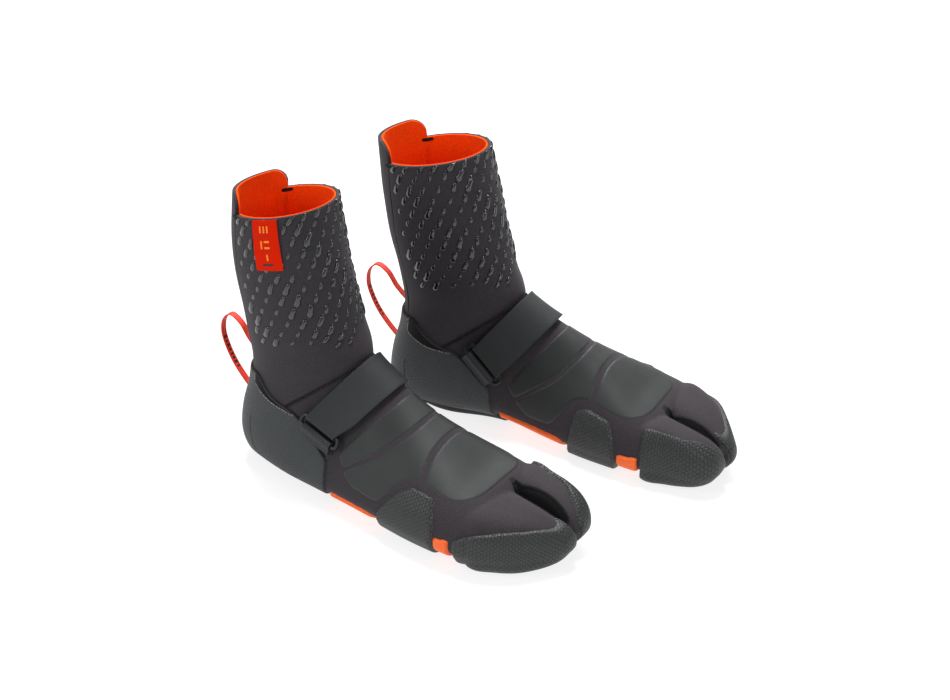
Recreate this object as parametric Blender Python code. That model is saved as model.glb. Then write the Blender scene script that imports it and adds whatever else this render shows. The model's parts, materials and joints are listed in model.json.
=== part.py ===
"""A pair of neoprene water boots with a split toe, each piece its own object.

Metres, +Z up, soles on Z = 0, toes toward -Y, the right boot at -X.
Inside a boot every place is given in millimetres as (s, m, z):
s runs forward from the heel, m toward the little toe, z up from the floor.
"""
import bpy
import bmesh
from math import cos, sin, pi, radians, sqrt, copysign
from mathutils import Matrix, Vector
from mathutils.bvhtree import BVHTree

MM = 0.001

# ---------------------------------------------------------------- placing of the pair
HEEL_AT = {"right": (-79.58, 140.67), "left": (47.92, 103.67)}
TOE_OUT = {"right": -1.6, "left": 7.5}

# The soft shafts lean forward above the ankle: how far, in mm, at the collar's back edge.
LEAN = {"right": 8.0, "left": 0.0}
LEAN_FROM = 105.0
LEAN_HEIGHT = 90.0

# ---------------------------------------------------------------- thicknesses
GAP = 0.5
NEOPRENE = 2.5
LINING = 1.2
PANEL = 0.8
CUP = 1.5
MIDSOLE = 1.5
OUTSOLE = 2.0
PATCH = 1.7
WEBBING = 1.4
SEAM_GAP = 0.35

LINING_OUT = -(NEOPRENE + GAP)
LINING_IN = LINING_OUT - LINING
LINING_EASE = 0.8
MIDSOLE_OUT = GAP + MIDSOLE
OUTSOLE_IN = MIDSOLE_OUT + 0.6
SOLE_TO_FLOOR = 6.5

# ---------------------------------------------------------------- form of the boot
# name, back or bottom (s, z), front or top (s, z), half width lateral, half width medial,
# squareness at the bottom, squareness at the top, where the section is widest
STATIONS = [
    ("collar", (-13, 195), (70, 213), 34.5, 34.5, 2.0, 2.0, 0.50),
    ("shaft_high", (-10, 168), (77, 185), 35.0, 35.0, 2.0, 2.0, 0.50),
    ("shaft_middle", (-4.5, 140), (85, 156), 35.0, 35.0, 2.0, 2.0, 0.50),
    ("shaft_low", (2.5, 111), (93, 128), 34.5, 34.5, 1.95, 2.0, 0.49),
    ("ankle", (7.5, 86), (99, 114), 34.0, 34.0, 1.95, 2.0, 0.47),
    ("ankle_back", (6.5, 64), (101, 110), 34.0, 33.5, 2.0, 2.0, 0.45),
    ("heel_back", (1.5, 42), (102.5, 106.5), 33.8, 33.0, 2.2, 2.0, 0.41),
    ("seam", (1, 20.8), (104, 103.2), 33.0, 32.0, 2.5, 2.0, 0.37),
    ("heel_low", (9, 8.5), (112, 98.5), 33.5, 31.0, 2.8, 2.0, 0.33),
    ("heel_end", (25, 5.5), (124, 92), 35.5, 30.0, 3.0, 2.0, 0.30),
    ("heel_front", (50, 5), (137, 85.5), 39.5, 29.0, 3.2, 2.0, 0.28),
    ("waist", (78, 5.5), (149, 79.5), 43.0, 28.5, 3.2, 2.0, 0.28),
    ("arch", (108, 6), (161, 73.5), 46.5, 30.0, 3.2, 2.05, 0.28),
    ("ball_back", (138, 6), (174, 67.5), 50.5, 33.5, 3.2, 2.1, 0.30),
    ("ball", (168, 5.5), (187, 61), 54.0, 37.5, 3.2, 2.2, 0.33),
    ("toe_root", (196, 5.5), (201, 54), 55.5, 40.0, 3.2, 2.4, 0.37),
    ("crotch", (216, 5.5), (217, 48), 54.0, 40.0, 3.2, 2.5, 0.40),
    ("crotch_end", (224, 9), (224, 43), 46.0, 34.0, 3.0, 2.6, 0.40),
]
ANKLE, SEAM, END = 4, 7, 17

# the two toe lobes: bottom (s, z), top (s, z), centre line m, half width
FOUR_TOES = [
    ("root", (209, 10), (209, 42), 24.0, 25.0),
    ("base", (221, 5.6), (221, 45), 24.2, 28.2),
    ("knuckle", (233, 5.8), (234, 43), 23.3, 24.3),
    ("middle", (246, 6.5), (246, 39.5), 19.4, 20.2),
    ("nail", (257, 8), (256, 34.5), 12.6, 15.2),
    ("front", (266, 10.5), (264, 29.5), 6.0, 10.6),
    ("tip", (271, 14.5), (270, 24), 2.0, 6.5),
]
BIG_TOE = [
    ("root", (209, 10), (209, 43), -20.0, 16.0),
    ("base", (221, 5.8), (221, 45.5), -21.0, 18.0),
    ("knuckle", (233, 6.2), (234, 43.5), -21.0, 15.5),
    ("middle", (246, 7.5), (246, 40.5), -20.8, 15.0),
    ("nail", (257, 9), (256, 36.5), -19.5, 14.1),
    ("front", (265, 11.5), (264, 31), -17.4, 11.9),
    ("tip", (269, 15.5), (268.5, 25), -15.5, 8.5),
]
TOE_SQUARE = (2.8, 2.5)
TOE_WIDEST = 0.4

ARCH_LIFT = 7.0
ARCH_AT = 96.0
ARCH_SPREAD = 34.0

# ---------------------------------------------------------------- mesh density
AROUND = 18
AROUND_LINING = 12
AROUND_TOE = 12
FOOT_RINGS = [7, 7.5, 8, 8.5, 9, 10, 11, 12, 13, 14, 15, 16, 17]
LINING_RINGS = [7, 8, 8.5, 9, 10, 11, 12, 13, 14, 15, 16, 17]
TOE_RINGS = [0, 1, 2, 3, 4, 5, 6]
LINING_TOE_RINGS = [0, 2, 3, 4, 5]
LINING_NOSE = 2.0

# ---------------------------------------------------------------- shaft details
SEAM_ANGLE_TOP = 58.0
SEAM_ANGLE_LOW = 44.0
TAB_HEIGHT = 15.0
TAB_CORNER = 12.0

# ---------------------------------------------------------------- strap, rings, loops
STRAP_UP = Vector((0.6, 0.0, 0.8))
STRAP_ACROSS = Vector((0.8, 0.0, -0.6))
STRAP_EDGES = (21.0, 49.5)
STRAP_AXIS = 99.0
STRAP_ENDS = {1: (95.4, 107.2), -1: (103.6, 100.8)}
RING_ROD = 2.6
RING_LENGTH = 37.0
RING_WIDTH = 10.5
RING_CORNER = 3.0
BAR_HEIGHT = 4.0
BAR_RADIUS = RING_ROD / 2 + 0.35
WEB_WIDTH = 27.0
WEB_TAIL = 4.0
WEB_DOUBLE = 1.8
WEB_FOOT = -BAR_HEIGHT + 0.9
TAPE_PATH = ((-2.4, 44), (-10, 51.5), (-17.5, 60.5), (-23.5, 71), (-27.3, 82.5),
             (-26, 93.5), (-19, 100), (-10, 95.5), (-3, 86), (5, 78.5))
TAPE_STEPS = 22
TAPE_WIDTH = 5.0
TAPE_THICKNESS = 1.0
LABEL_ANGLES = (89.0, 116.0)
LABEL_LENGTH = 37.0
STATION_HEIGHT = 28.5
STRAP_LIFT = 1.25
FLAP_LIFT = 3.1
FLAP_TRIM = 0.06
STRAP_WAYS = (0.7, 0.58, 0.44, 0.3, 0.15, 0)

COLOURS = {
    "neoprene": ((0.050, 0.038, 0.048, 1), 0.85, 0.0),
    "lining": ((0.90, 0.085, 0.015, 1), 0.95, 0.0),
    "rubber": ((0.028, 0.032, 0.034, 1), 0.60, 0.0),
    "cup_fabric": ((0.055, 0.065, 0.070, 1), 0.75, 0.0),
    "print": ((0.040, 0.050, 0.052, 1), 0.55, 0.0),
    "webbing": ((0.045, 0.055, 0.058, 1), 0.70, 0.0),
    "ring_plastic": ((0.012, 0.012, 0.013, 1), 0.35, 0.0),
    "black_web": ((0.012, 0.013, 0.014, 1), 0.80, 0.0),
    "orange_foam": ((0.95, 0.16, 0.03, 1), 0.70, 0.0),
    "red_tape": ((0.75, 0.07, 0.03, 1), 0.75, 0.0),
    "thread": ((0.010, 0.010, 0.010, 1), 0.85, 0.0),
    "foam": ((0.06, 0.06, 0.065, 1), 0.90, 0.0),
}


def clear_scene():
    for thing in list(bpy.data.objects):
        bpy.data.objects.remove(thing, do_unlink=True)


def material(name):
    """The shared colours, one material per object."""
    colour, roughness, metallic = COLOURS[name]
    made = bpy.data.materials.new(name)
    made.use_nodes = True
    shader = made.node_tree.nodes["Principled BSDF"]
    shader.inputs["Base Color"].default_value = colour
    shader.inputs["Roughness"].default_value = roughness
    shader.inputs["Metallic"].default_value = metallic
    made.diffuse_color = colour
    return made


# ================================================================ the form
def between(values, u):
    """A smooth curve through evenly spaced values (Catmull-Rom)."""
    last = len(values) - 1
    i = max(0, min(int(u), last - 1))
    t = u - i
    p0 = values[max(i - 1, 0)]
    p1 = values[i]
    p2 = values[i + 1]
    p3 = values[min(i + 2, last)]
    return 0.5 * (2 * p1 + (p2 - p0) * t + (2 * p0 - 5 * p1 + 4 * p2 - p3) * t * t
                  + (3 * p1 - p0 - 3 * p2 + p3) * t ** 3)


def columns(stations):
    """The station values as lists of plain numbers, one list per value."""
    flat = []
    for row in stations:
        numbers = []
        for value in row[1:]:
            numbers.extend(value if isinstance(value, tuple) else (value,))
        flat.append(numbers)
    return [list(column) for column in zip(*flat)]


BODY_COLUMNS = columns(STATIONS)
FOUR_COLUMNS = columns(FOUR_TOES)
BIG_COLUMNS = columns(BIG_TOE)


def power(value, exponent):
    return copysign(abs(value) ** (2.0 / exponent), value)


def section(back, front, centre, lateral, medial, square_low, square_top, widest, angle):
    """A point of a rounded section: angle 0 at the back or bottom, pi at the front or top."""
    across = cos(angle)
    side = sin(angle)
    square = square_low if across > 0 else square_top
    reach = widest if across > 0 else 1 - widest
    along = widest - reach * power(across, square)
    half = lateral if side >= 0 else medial
    s = back[0] + (front[0] - back[0]) * along
    z = back[1] + (front[1] - back[1]) * along
    return Vector((s, centre + half * power(side, square), z))


def lift_arch(point):
    """The medial edge of the sole rises at the arch."""
    low = max(0.0, min(1.0, (45 - point.z) / 40))
    inside = max(0.0, min(1.0, -point.y / 30))
    spread = (point.x - ARCH_AT) / ARCH_SPREAD
    point.z += ARCH_LIFT * low * inside * 2.718 ** (-spread * spread)
    return point


def body(u, angle):
    """The neoprene surface from the collar (u = 0) to the crotch of the toes (u = 17)."""
    sb, zb, sf, zf, lateral, medial, low, top, widest = [between(c, u) for c in BODY_COLUMNS]
    point = section((sb, zb), (sf, zf), 0, lateral, medial, low, top, widest, angle)
    return lift_arch(point)


def lobe(table):
    """The surface of one toe lobe, from its root (u = 0) to its tip."""
    def surface(u, angle):
        sb, zb, sf, zf, centre, half = [between(c, u) for c in table]
        return section((sb, zb), (sf, zf), centre, half, half,
                       TOE_SQUARE[0], TOE_SQUARE[1], TOE_WIDEST, angle)
    return surface


def outward(surface, u, angle, last):
    """Direction and stretch that move a point out by one, by small steps on the surface.

    On the body the move stays in the plane of its section, so all layers meet on flat seams.
    """
    step = 0.02
    around = surface(u, angle + step) - surface(u, angle - step)
    ahead = surface(min(u + step, last), angle) - surface(max(u - step, 0), angle)
    normal = around.cross(ahead).normalized()
    if surface is not body:
        return normal
    across = surface(u, pi) - surface(u, 0)
    plane = across.cross(Vector((0, 1, 0))).normalized()
    level = (normal - plane * normal.dot(plane)).normalized()
    return level / max(level.dot(normal), 0.7)


def offset_point(surface, u, angle, offset, last):
    """A point of the surface moved out by an offset, or by a rule that gives one for a height."""
    point = surface(u, angle)
    amount = offset(point.z) if callable(offset) else offset
    moved = point + outward(surface, u, angle, last) * amount
    if amount > 0:
        moved.z = max(moved.z, 0.0)
    return moved


# ================================================================ mesh building
def grid_faces(bm, rows, closed=False):
    """Pairs of triangles between rows of vertices, every pair split the same way."""
    for row, following in zip(rows, rows[1:]):
        count = len(row)
        for i in range(count if closed else count - 1):
            j = (i + 1) % count
            bm.faces.new((row[i], row[j], following[j]))
            bm.faces.new((row[i], following[j], following[i]))


def ring_of(bm, surface, u, offset, around, last):
    angles = [2 * pi * i / around for i in range(around)]
    return [bm.verts.new(offset_point(surface, u, a, offset, last)) for a in angles]


def closed_solid(surface, rings, offset, around, last):
    """A closed solid inside the offset surface."""
    bm = bmesh.new()
    rows = [ring_of(bm, surface, u, offset, around, last) for u in rings]
    grid_faces(bm, rows, closed=True)
    bm.faces.new(rows[0])
    bm.faces.new(rows[-1])
    return finish(bm)


def tube(surface, rings, inner, outer, around, last):
    """The skin between two offsets, open at both ends."""
    bm = bmesh.new()
    out_rows = [ring_of(bm, surface, u, outer, around, last) for u in rings]
    in_rows = [ring_of(bm, surface, u, inner, around, last) for u in rings]
    grid_faces(bm, out_rows, closed=True)
    grid_faces(bm, in_rows, closed=True)
    grid_faces(bm, [out_rows[0], in_rows[0]], closed=True)
    grid_faces(bm, [out_rows[-1], in_rows[-1]], closed=True)
    return finish(bm)


def cap_skin(surface, rings, inner, outer, around, last):
    """The skin between two offsets, open at the root and closed at the tip."""
    bm = bmesh.new()
    out_rows = [ring_of(bm, surface, u, outer, around, last) for u in rings]
    in_rows = [ring_of(bm, surface, u, inner, around, last) for u in rings]
    grid_faces(bm, out_rows, closed=True)
    grid_faces(bm, in_rows, closed=True)
    grid_faces(bm, [out_rows[0], in_rows[0]], closed=True)
    for row, offset in ((out_rows[-1], outer), (in_rows[-1], inner)):
        amount = offset(20) if callable(offset) else offset
        middle = sum((v.co for v in row), Vector()) / len(row)
        middle.x += 1.5 + 0.4 * amount
        tip = bm.verts.new(middle)
        for i, vert in enumerate(row):
            bm.faces.new((vert, row[(i + 1) % len(row)], tip))
    return finish(bm)


def skin(inner_rows, outer_rows, closed=False):
    """A sheet with thickness: two grids of points joined round the edge."""
    bm = bmesh.new()
    inner = [[bm.verts.new(p) for p in row] for row in inner_rows]
    outer = [[bm.verts.new(p) for p in row] for row in outer_rows]
    grid_faces(bm, inner, closed)
    grid_faces(bm, outer, closed)
    grid_faces(bm, [inner[0], outer[0]], closed)
    grid_faces(bm, [inner[-1], outer[-1]], closed)
    if not closed:
        grid_faces(bm, [[r[0] for r in inner], [r[0] for r in outer]])
        grid_faces(bm, [[r[-1] for r in inner], [r[-1] for r in outer]])
    return finish(bm)


def turn_outward(bm):
    """Faces of one closed solid point outward."""
    bmesh.ops.recalc_face_normals(bm, faces=bm.faces)
    if bm.calc_volume(signed=True) < 0:
        bmesh.ops.reverse_faces(bm, faces=bm.faces)


def finish(bm):
    """Outward faces, as a mesh."""
    turn_outward(bm)
    mesh = bpy.data.meshes.new("made")
    bm.to_mesh(mesh)
    bm.free()
    return mesh


def boolean(first, second, operation):
    """One mesh cut by, joined with or limited to another."""
    kept = bpy.data.objects.new("kept", first)
    cutter = bpy.data.objects.new("cutter", second)
    for thing in (kept, cutter):
        bpy.context.scene.collection.objects.link(thing)
    cutter.hide_render = True
    cutter.display_type = "WIRE"
    change = kept.modifiers.new("cut", "BOOLEAN")
    change.operation = operation
    change.solver = "EXACT"
    change.object = cutter
    graph = bpy.context.evaluated_depsgraph_get()
    result = bpy.data.meshes.new_from_object(kept.evaluated_get(graph))
    bpy.data.objects.remove(kept)
    bpy.data.objects.remove(cutter)
    return result


def largest_part(mesh):
    """Only the largest connected part of a mesh, with its specks merged away."""
    bm = bmesh.new()
    bm.from_mesh(mesh)
    bmesh.ops.remove_doubles(bm, verts=bm.verts, dist=0.004)
    bmesh.ops.dissolve_degenerate(bm, edges=bm.edges, dist=0.002)
    left = set(bm.verts)
    parts = []
    while left:
        start = left.pop()
        part = {start}
        todo = [start]
        while todo:
            for edge in todo.pop().link_edges:
                for vert in edge.verts:
                    if vert in left:
                        left.discard(vert)
                        part.add(vert)
                        todo.append(vert)
        parts.append(part)
    parts.sort(key=len)
    spare = [v for part in parts[:-1] for v in part]
    bmesh.ops.delete(bm, geom=spare, context="VERTS")
    return finish(bm)


# ================================================================ cutters
def rounded(points, segments=2):
    """An outline whose corners (s, z, radius) are replaced by arcs."""
    made = []
    count = len(points)
    for i, (x, y, radius) in enumerate(points):
        corner = Vector((x, y))
        if radius <= 0:
            made.append(corner)
            continue
        before = Vector(points[i - 1][:2]) - corner
        after = Vector(points[(i + 1) % count][:2]) - corner
        reach = min(radius, before.length * 0.45, after.length * 0.45)
        start = corner + before.normalized() * reach
        stop = corner + after.normalized() * reach
        for k in range(segments + 1):
            t = k / segments
            made.append(start * (1 - t) ** 2 + corner * 2 * t * (1 - t) + stop * t * t)
    return made


def ruled_solid(first, second):
    """A solid whose flat ends are two outlines with the same number of points."""
    bm = bmesh.new()
    loops = [[bm.verts.new(p) for p in outline] for outline in (first, second)]
    grid_faces(bm, loops, closed=True)
    bm.faces.new(loops[0])
    bm.faces.new(loops[1])
    return finish(bm)


def side_cutter(lateral, medial=None, m_from=-62.0, m_to=62.0):
    """A cutter seen from the side: (s, z, corner radius), given 40 mm out on either side."""
    lateral = rounded(lateral)
    medial = rounded(medial) if medial else lateral
    ends = []
    for m in (m_from, m_to):
        share = 0.5 + m / 80.0
        outline = [b + (a - b) * share for a, b in zip(lateral, medial)]
        ends.append([Vector((p.x, m, p.y)) for p in outline])
    return ruled_solid(*ends)


def top_cutter(low, high, z_low=-5.0, z_high=50.0):
    """A cutter seen from above: (s, m) outlines at two heights."""
    ends = [[Vector((s, m, z)) for s, m in outline] for outline, z in ((low, z_low), (high, z_high))]
    return ruled_solid(*ends)


# ================================================================ neoprene and linings
def foot_solid(offset, around, first, foot_rings, toe_rings):
    """Closed foot form with its two toe lobes, from ring `first` to the toe tips."""
    rings = list(foot_rings)
    if first < SEAM:
        rings = [first] + rings
    whole = closed_solid(body, rings, offset, around, END)
    for table, stations in ((FOUR_COLUMNS, FOUR_TOES), (BIG_COLUMNS, BIG_TOE)):
        last = len(stations) - 1
        bm = bmesh.new()
        surface = lobe(table)
        rows = [ring_of(bm, surface, u, offset, AROUND_TOE, last) for u in toe_rings]
        grid_faces(bm, rows, closed=True)
        bm.faces.new(rows[0])
        tip = sum((v.co for v in rows[-1]), Vector()) / AROUND_TOE
        tip.x += 1.5 + 0.4 * offset if toe_rings[-1] == last else LINING_NOSE
        point = bm.verts.new(tip)
        for i, vert in enumerate(rows[-1]):
            bm.faces.new((vert, rows[-1][(i + 1) % AROUND_TOE], point))
        whole = boolean(whole, finish(bm), "UNION")
    return whole


def foot_skin(inner, outer, around, foot_rings, toe_rings):
    """The foot as a shell, open at the ankle seam."""
    outside = foot_solid(outer, around, SEAM, foot_rings, toe_rings)
    inside = foot_solid(inner, around, SEAM - 1, foot_rings, toe_rings)
    return largest_part(boolean(outside, inside, "DIFFERENCE"))


def tab_top(part):
    """Height of the back tab above the collar; part runs -1 to 1 across the back panel."""
    half = 34.5 * radians(SEAM_ANGLE_TOP)
    x = abs(part) * half
    into = max(0.0, x - (half - TAB_CORNER))
    return TAB_HEIGHT - TAB_CORNER + sqrt(max(TAB_CORNER ** 2 - into ** 2, 0.0))


def shaft_point(angle, height, u, offset):
    """A point of the shaft; above the collar it follows the shaft's own direction."""
    point = offset_point(body, u, angle, offset, END)
    if height > 0:
        rise = offset_point(body, 0, angle, offset, END) - offset_point(body, 0.4, angle, offset, END)
        point += rise.normalized() * height
    return point


def seam_angle(u):
    """Angle of the vertical seams from the back line."""
    return SEAM_ANGLE_TOP + (SEAM_ANGLE_LOW - SEAM_ANGLE_TOP) * min(u / ANKLE, 1.0)


def grid_angles(low, high):
    """The angles of the common grid (in degrees) that lie well between two others."""
    step = 360.0 / AROUND
    angles = [step * i for i in range(-AROUND, AROUND + 1)]
    return [a for a in angles if low + 1 < a < high - 1]


def shaft_panel(spans, inside, inner, outer, with_tab):
    """One panel of the shaft: spans(u) gives its edge angles, inside the ones between them."""
    rows = []
    if with_tab:
        for share in (1.0, 0.5):
            rows.append((0, share))
    for u in (0, 1, 2, 3, 4, 5, 6):
        rows.append((u, 0))
    rows.append((SEAM - 0.02, 0))
    sheets = []
    for offset in (inner, outer):
        sheet = []
        for u, share in rows:
            low, high = spans(u)
            line = []
            for angle in [low] + inside + [high]:
                height = share * tab_top(angle / SEAM_ANGLE_TOP) if share else 0
                line.append(shaft_point(radians(angle), height, u, offset))
            sheet.append(line)
        sheets.append(sheet)
    return skin(*sheets)


def back_panel():
    half_gap = SEAM_GAP / 2 / 34.5 * 180 / pi
    return shaft_panel(lambda u: (-seam_angle(u) + half_gap, seam_angle(u) - half_gap),
                       grid_angles(-SEAM_ANGLE_LOW, SEAM_ANGLE_LOW), -NEOPRENE, 0, True)


def front_panel():
    half_gap = SEAM_GAP / 2 / 34.5 * 180 / pi
    return shaft_panel(lambda u: (seam_angle(u) + half_gap, 360 - seam_angle(u) - half_gap),
                       grid_angles(SEAM_ANGLE_TOP, 360 - SEAM_ANGLE_TOP), -NEOPRENE, 0, False)


def shaft_lining():
    """The lining of the whole shaft, its top edge following the collar and the tab."""
    notch = SEAM_ANGLE_TOP
    angles = [-notch] + grid_angles(-notch, notch) + [notch]
    angles += [notch + 1] + grid_angles(notch, 360 - notch) + [359 - notch]
    sheets = []
    for offset in (LINING_IN, LINING_OUT):
        sheet = []
        for u, share in ((0, 1.0), (0, 0.35), (1, 0), (2, 0), (3, 0), (4, 0), (5, 0), (6, 0),
                         (SEAM - 0.02, 0)):
            line = []
            for angle in angles:
                on_tab = abs(angle) <= notch
                height = share * tab_top(angle / notch) if on_tab else 0
                row_u = u
                if not on_tab and u == 0:
                    row_u = 0.0 if share == 1.0 else 0.4
                line.append(shaft_point(radians(angle), height, row_u, offset))
            sheet.append(line)
        sheets.append(sheet)
    return skin(*sheets, closed=True)


# ================================================================ pieces on the foot
def blend(low_z, high_z, low_value, high_value):
    """A thickness that changes evenly between two heights."""
    def rule(z):
        t = max(0.0, min(1.0, (z - low_z) / (high_z - low_z)))
        return low_value + (high_value - low_value) * t
    return rule


def cut_skin(rings, inner, outer, cutter):
    return largest_part(boolean(tube(body, rings, inner, outer, AROUND, END), cutter, "INTERSECT"))


def heel_cup():
    lateral = [(-20, 75, 0), (16, 78.5, 8), (30, 82.5, 10), (47, 66, 10), (66, 58.5, 10),
               (96, 38.5, 4), (96, -5, 0), (-20, -5, 0)]
    medial = [(-20, 75, 0), (16, 76.5, 8), (28, 79.5, 10), (50, 64, 10), (66, 60, 10),
              (91, 37, 4), (97, -5, 0), (-20, -5, 0)]
    rings = [4, 5, 6, 7, 7.5, 8, 8.5, 9, 10, 11, 12]
    return cut_skin(rings, GAP, GAP + CUP, side_cutter(lateral, medial))


def instep_panel(lateral, medial, rings):
    return cut_skin(rings, GAP, GAP + PANEL, side_cutter(lateral, medial))


def instep_rear():
    lateral = [(104.5, 46, 3), (114, 59, 8), (132, 79, 8), (146, 100, 0), (168, 100, 0),
               (153, 74, 8), (138, 59, 8), (111, 38.5, 3)]
    medial = [(106, 42, 3), (115, 58, 8), (131, 78, 8), (146, 100, 0), (168, 100, 0),
              (152.5, 73, 8), (142, 58, 8), (112, 34.5, 3)]
    return instep_panel(lateral, medial, [8, 8.5, 9, 10, 11, 12, 13, 14])


def instep_middle():
    lateral = [(111.5, 36, 3), (140, 56, 8), (156, 73, 8), (171, 100, 0), (178, 100, 0),
               (170.5, 66, 8), (174.5, 52, 2), (163, 49.5, 6), (150, 34, 6), (144, 27.5, 5),
               (121, 28, 5)]
    medial = [(113, 32.5, 3), (144, 56, 8), (155.5, 73, 8), (171, 100, 0), (178, 100, 0),
              (170.5, 66, 8), (171, 51, 2), (160, 49, 6), (151, 36, 6), (143, 23.5, 5),
              (122, 24, 5)]
    return instep_panel(lateral, medial, [9, 10, 11, 12, 13, 14, 15])


def instep_front():
    lateral = [(177.5, 51.5, 3), (173.8, 66, 8), (181, 100, 0), (217, 100, 0), (216, 47.5, 2),
               (203, 45.5, 6), (188, 48.5, 6)]
    medial = [(174.5, 50, 3), (173.8, 66, 8), (181, 100, 0), (217, 100, 0), (216, 47.5, 2),
              (203, 45, 6), (188, 47, 6)]
    return instep_panel(lateral, medial, [12, 13, 14, 15, 16, 17])


def midsole():
    lateral = [(99.5, -5, 0), (99.5, 15, 0), (147, 15, 3), (153, 8, 3), (198.3, 8, 0),
               (199.3, 22, 2), (215, 24, 0), (215, -5, 0)]
    medial = [(99.5, -5, 0), (99.5, 19, 0), (152, 16, 3), (158, 8, 3), (199, 8, 0), (200, 20, 2),
              (215, 22, 0), (215, -5, 0)]
    rings = [9, 10, 11, 12, 13, 14, 15, 16, 17]
    return cut_skin(rings, GAP, MIDSOLE_OUT, side_cutter(lateral, medial))


def heel_outsole():
    lateral = [(-20, -5, 0), (-20, 8, 0), (35, 6.5, 0), (101, 7, 2), (101, -5, 0)]
    medial = [(-20, -5, 0), (-20, 8, 0), (35, 7.5, 0), (101, 13, 2), (101, -5, 0)]
    outer = blend(7, 11, SOLE_TO_FLOOR, OUTSOLE_IN + OUTSOLE)
    rings = [6, 7, 7.5, 8, 8.5, 9, 10, 11, 12, 13]
    return cut_skin(rings, OUTSOLE_IN, outer, side_cutter(lateral, medial))


def forefoot_outsole():
    lateral = [(151, -5, 0), (156, 24, 3), (163, 39.5, 3), (171, 47, 3), (191.5, 45.5, 3),
               (197.5, 31, 3), (196.5, 12, 2), (197.5, -5, 0)]
    medial = [(157, -5, 0), (161, 20, 3), (163, 41, 3), (171.5, 45, 3), (190.5, 41.5, 3),
              (195.5, 31, 3), (198, 12, 2), (198, -5, 0)]
    inner = blend(10, 17, OUTSOLE_IN, GAP)
    outer = blend(7, 17, SOLE_TO_FLOOR, GAP + PATCH)
    rings = [12, 13, 13.5, 14, 15, 16]
    return cut_skin(rings, inner, outer, side_cutter(lateral, medial))


def toe_skin(table, stations):
    """Rubber skin round one toe lobe, thick at the bottom."""
    last = len(stations) - 1
    rings = [0.5, 1, 1.5, 2, 3, 4, 5, 6]
    outer = blend(7, 14, SOLE_TO_FLOOR, GAP + PATCH)
    return cap_skin(lobe(table), rings, GAP, outer, AROUND_TOE, last)


def forefoot_body():
    """The front of the foot with its gap, to be kept clear of the caps."""
    return closed_solid(body, [14, 15, 16, 17], GAP, AROUND, END)


def toe_cap():
    """Rubber round the four toes, kept out of the slit."""
    side = [(217.5, -5, 0), (217.5, 25, 3), (227, 33, 4), (243, 36.5, 6), (257, 33.5, 6),
            (267, 28.5, 6), (295, 26, 0), (295, -5, 0)]
    low = [(210, 80), (210, -2.6), (250, -2.6), (264, -3.6), (295, -4.6), (295, 80)]
    high = [(210, 80), (210, 12), (250, 9), (262, 0), (295, -4.6), (295, 80)]
    rubber = boolean(toe_skin(FOUR_COLUMNS, FOUR_TOES), side_cutter(side), "INTERSECT")
    rubber = boolean(rubber, top_cutter(low, high), "INTERSECT")
    return largest_part(boolean(rubber, forefoot_body(), "DIFFERENCE"))


def big_toe_cap():
    """Rubber round the big toe, up to its top ridge."""
    low = [(217, -60), (217, -4.2), (250, -4.2), (262, -5.4), (295, -5.4), (295, -60)]
    high = [(217, -60), (217, -36), (245, -33), (264, -20), (295, -5.4), (295, -60)]
    rubber = boolean(toe_skin(BIG_COLUMNS, BIG_TOE), top_cutter(low, high), "INTERSECT")
    return largest_part(boolean(rubber, forefoot_body(), "DIFFERENCE"))


def insole():
    """Thin foam sheet on the bottom of the foot lining."""
    floor = tree(closed_solid(body, LINING_RINGS, LINING_IN - LINING_EASE, AROUND_LINING, END))
    sheets = [[], []]
    for i in range(10):
        s = 16 + (205 - 16) * i / 9
        wide = 18.5 + 15 * min(1.0, max(0.0, (s - 60) / 120))
        end = min(1.0, sqrt(max(0.0, 1 - ((s - 110.5) / 103) ** 2)) * 1.6)
        centre = 2 + 6 * min(1.0, max(0.0, (s - 40) / 120))
        lines = [[], []]
        for k in range(5):
            m = centre + wide * end * (k / 2 - 1)
            hit = floor.ray_cast(Vector((s, m, 26)), Vector((0, 0, -1)))[0]
            for line, rise in zip(lines, (GAP + 0.4, GAP + 3.1)):
                line.append(hit + Vector((0, 0, rise)))
        sheets[0].append(lines[0])
        sheets[1].append(lines[1])
    return skin(*sheets)


def body_layer(offset):
    rings = [4, 5, 6] + FOOT_RINGS
    return closed_solid(body, rings, offset, AROUND, END)


def tree(mesh):
    bm = bmesh.new()
    bm.from_mesh(mesh)
    made = BVHTree.FromBMesh(bm)
    bm.free()
    return made


# ================================================================ strap and rings
class StrapPath:
    """Where the strap lies: column 0 to 1 across it, way -1 (medial) over 0 (top) to 1 (lateral)."""

    def __init__(self):
        self.layer = tree(body_layer(0))

    def on_foot(self, column, way):
        plane = STRAP_EDGES[0] + (STRAP_EDGES[1] - STRAP_EDGES[0]) * column
        side = 1 if way >= 0 else -1
        ends = STRAP_ENDS[side]
        end_height = ends[0] + (ends[1] - ends[0]) * column
        height = STRAP_AXIS + (end_height - STRAP_AXIS) * abs(way)
        origin = STRAP_ACROSS * plane + STRAP_UP * height
        angle = pi / 2 * (1 - abs(way))
        direction = Vector((0, side * cos(angle), 0)) + STRAP_UP * sin(angle)
        hit, normal = self.layer.ray_cast(origin, direction)[:2]
        return hit, direction

    def ring_frame(self, side):
        """Middle of the strap's end on the foot, with its long, up-the-foot and outward axes."""
        rear = self.on_foot(0.0, side)[0]
        front = self.on_foot(1.0, side)[0]
        above = self.on_foot(0.5, side * 0.85)[0]
        middle = (rear + front) / 2
        here = self.on_foot(0.5, side)[0]
        along = (front - rear).normalized()
        up = above - here
        up = (up - along * up.dot(along)).normalized()
        out = along.cross(up)
        if out.y * side < 0:
            out = -out
        bulge = max(0.0, (here - middle).dot(out))
        return middle + out * bulge, along, up, out


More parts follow.
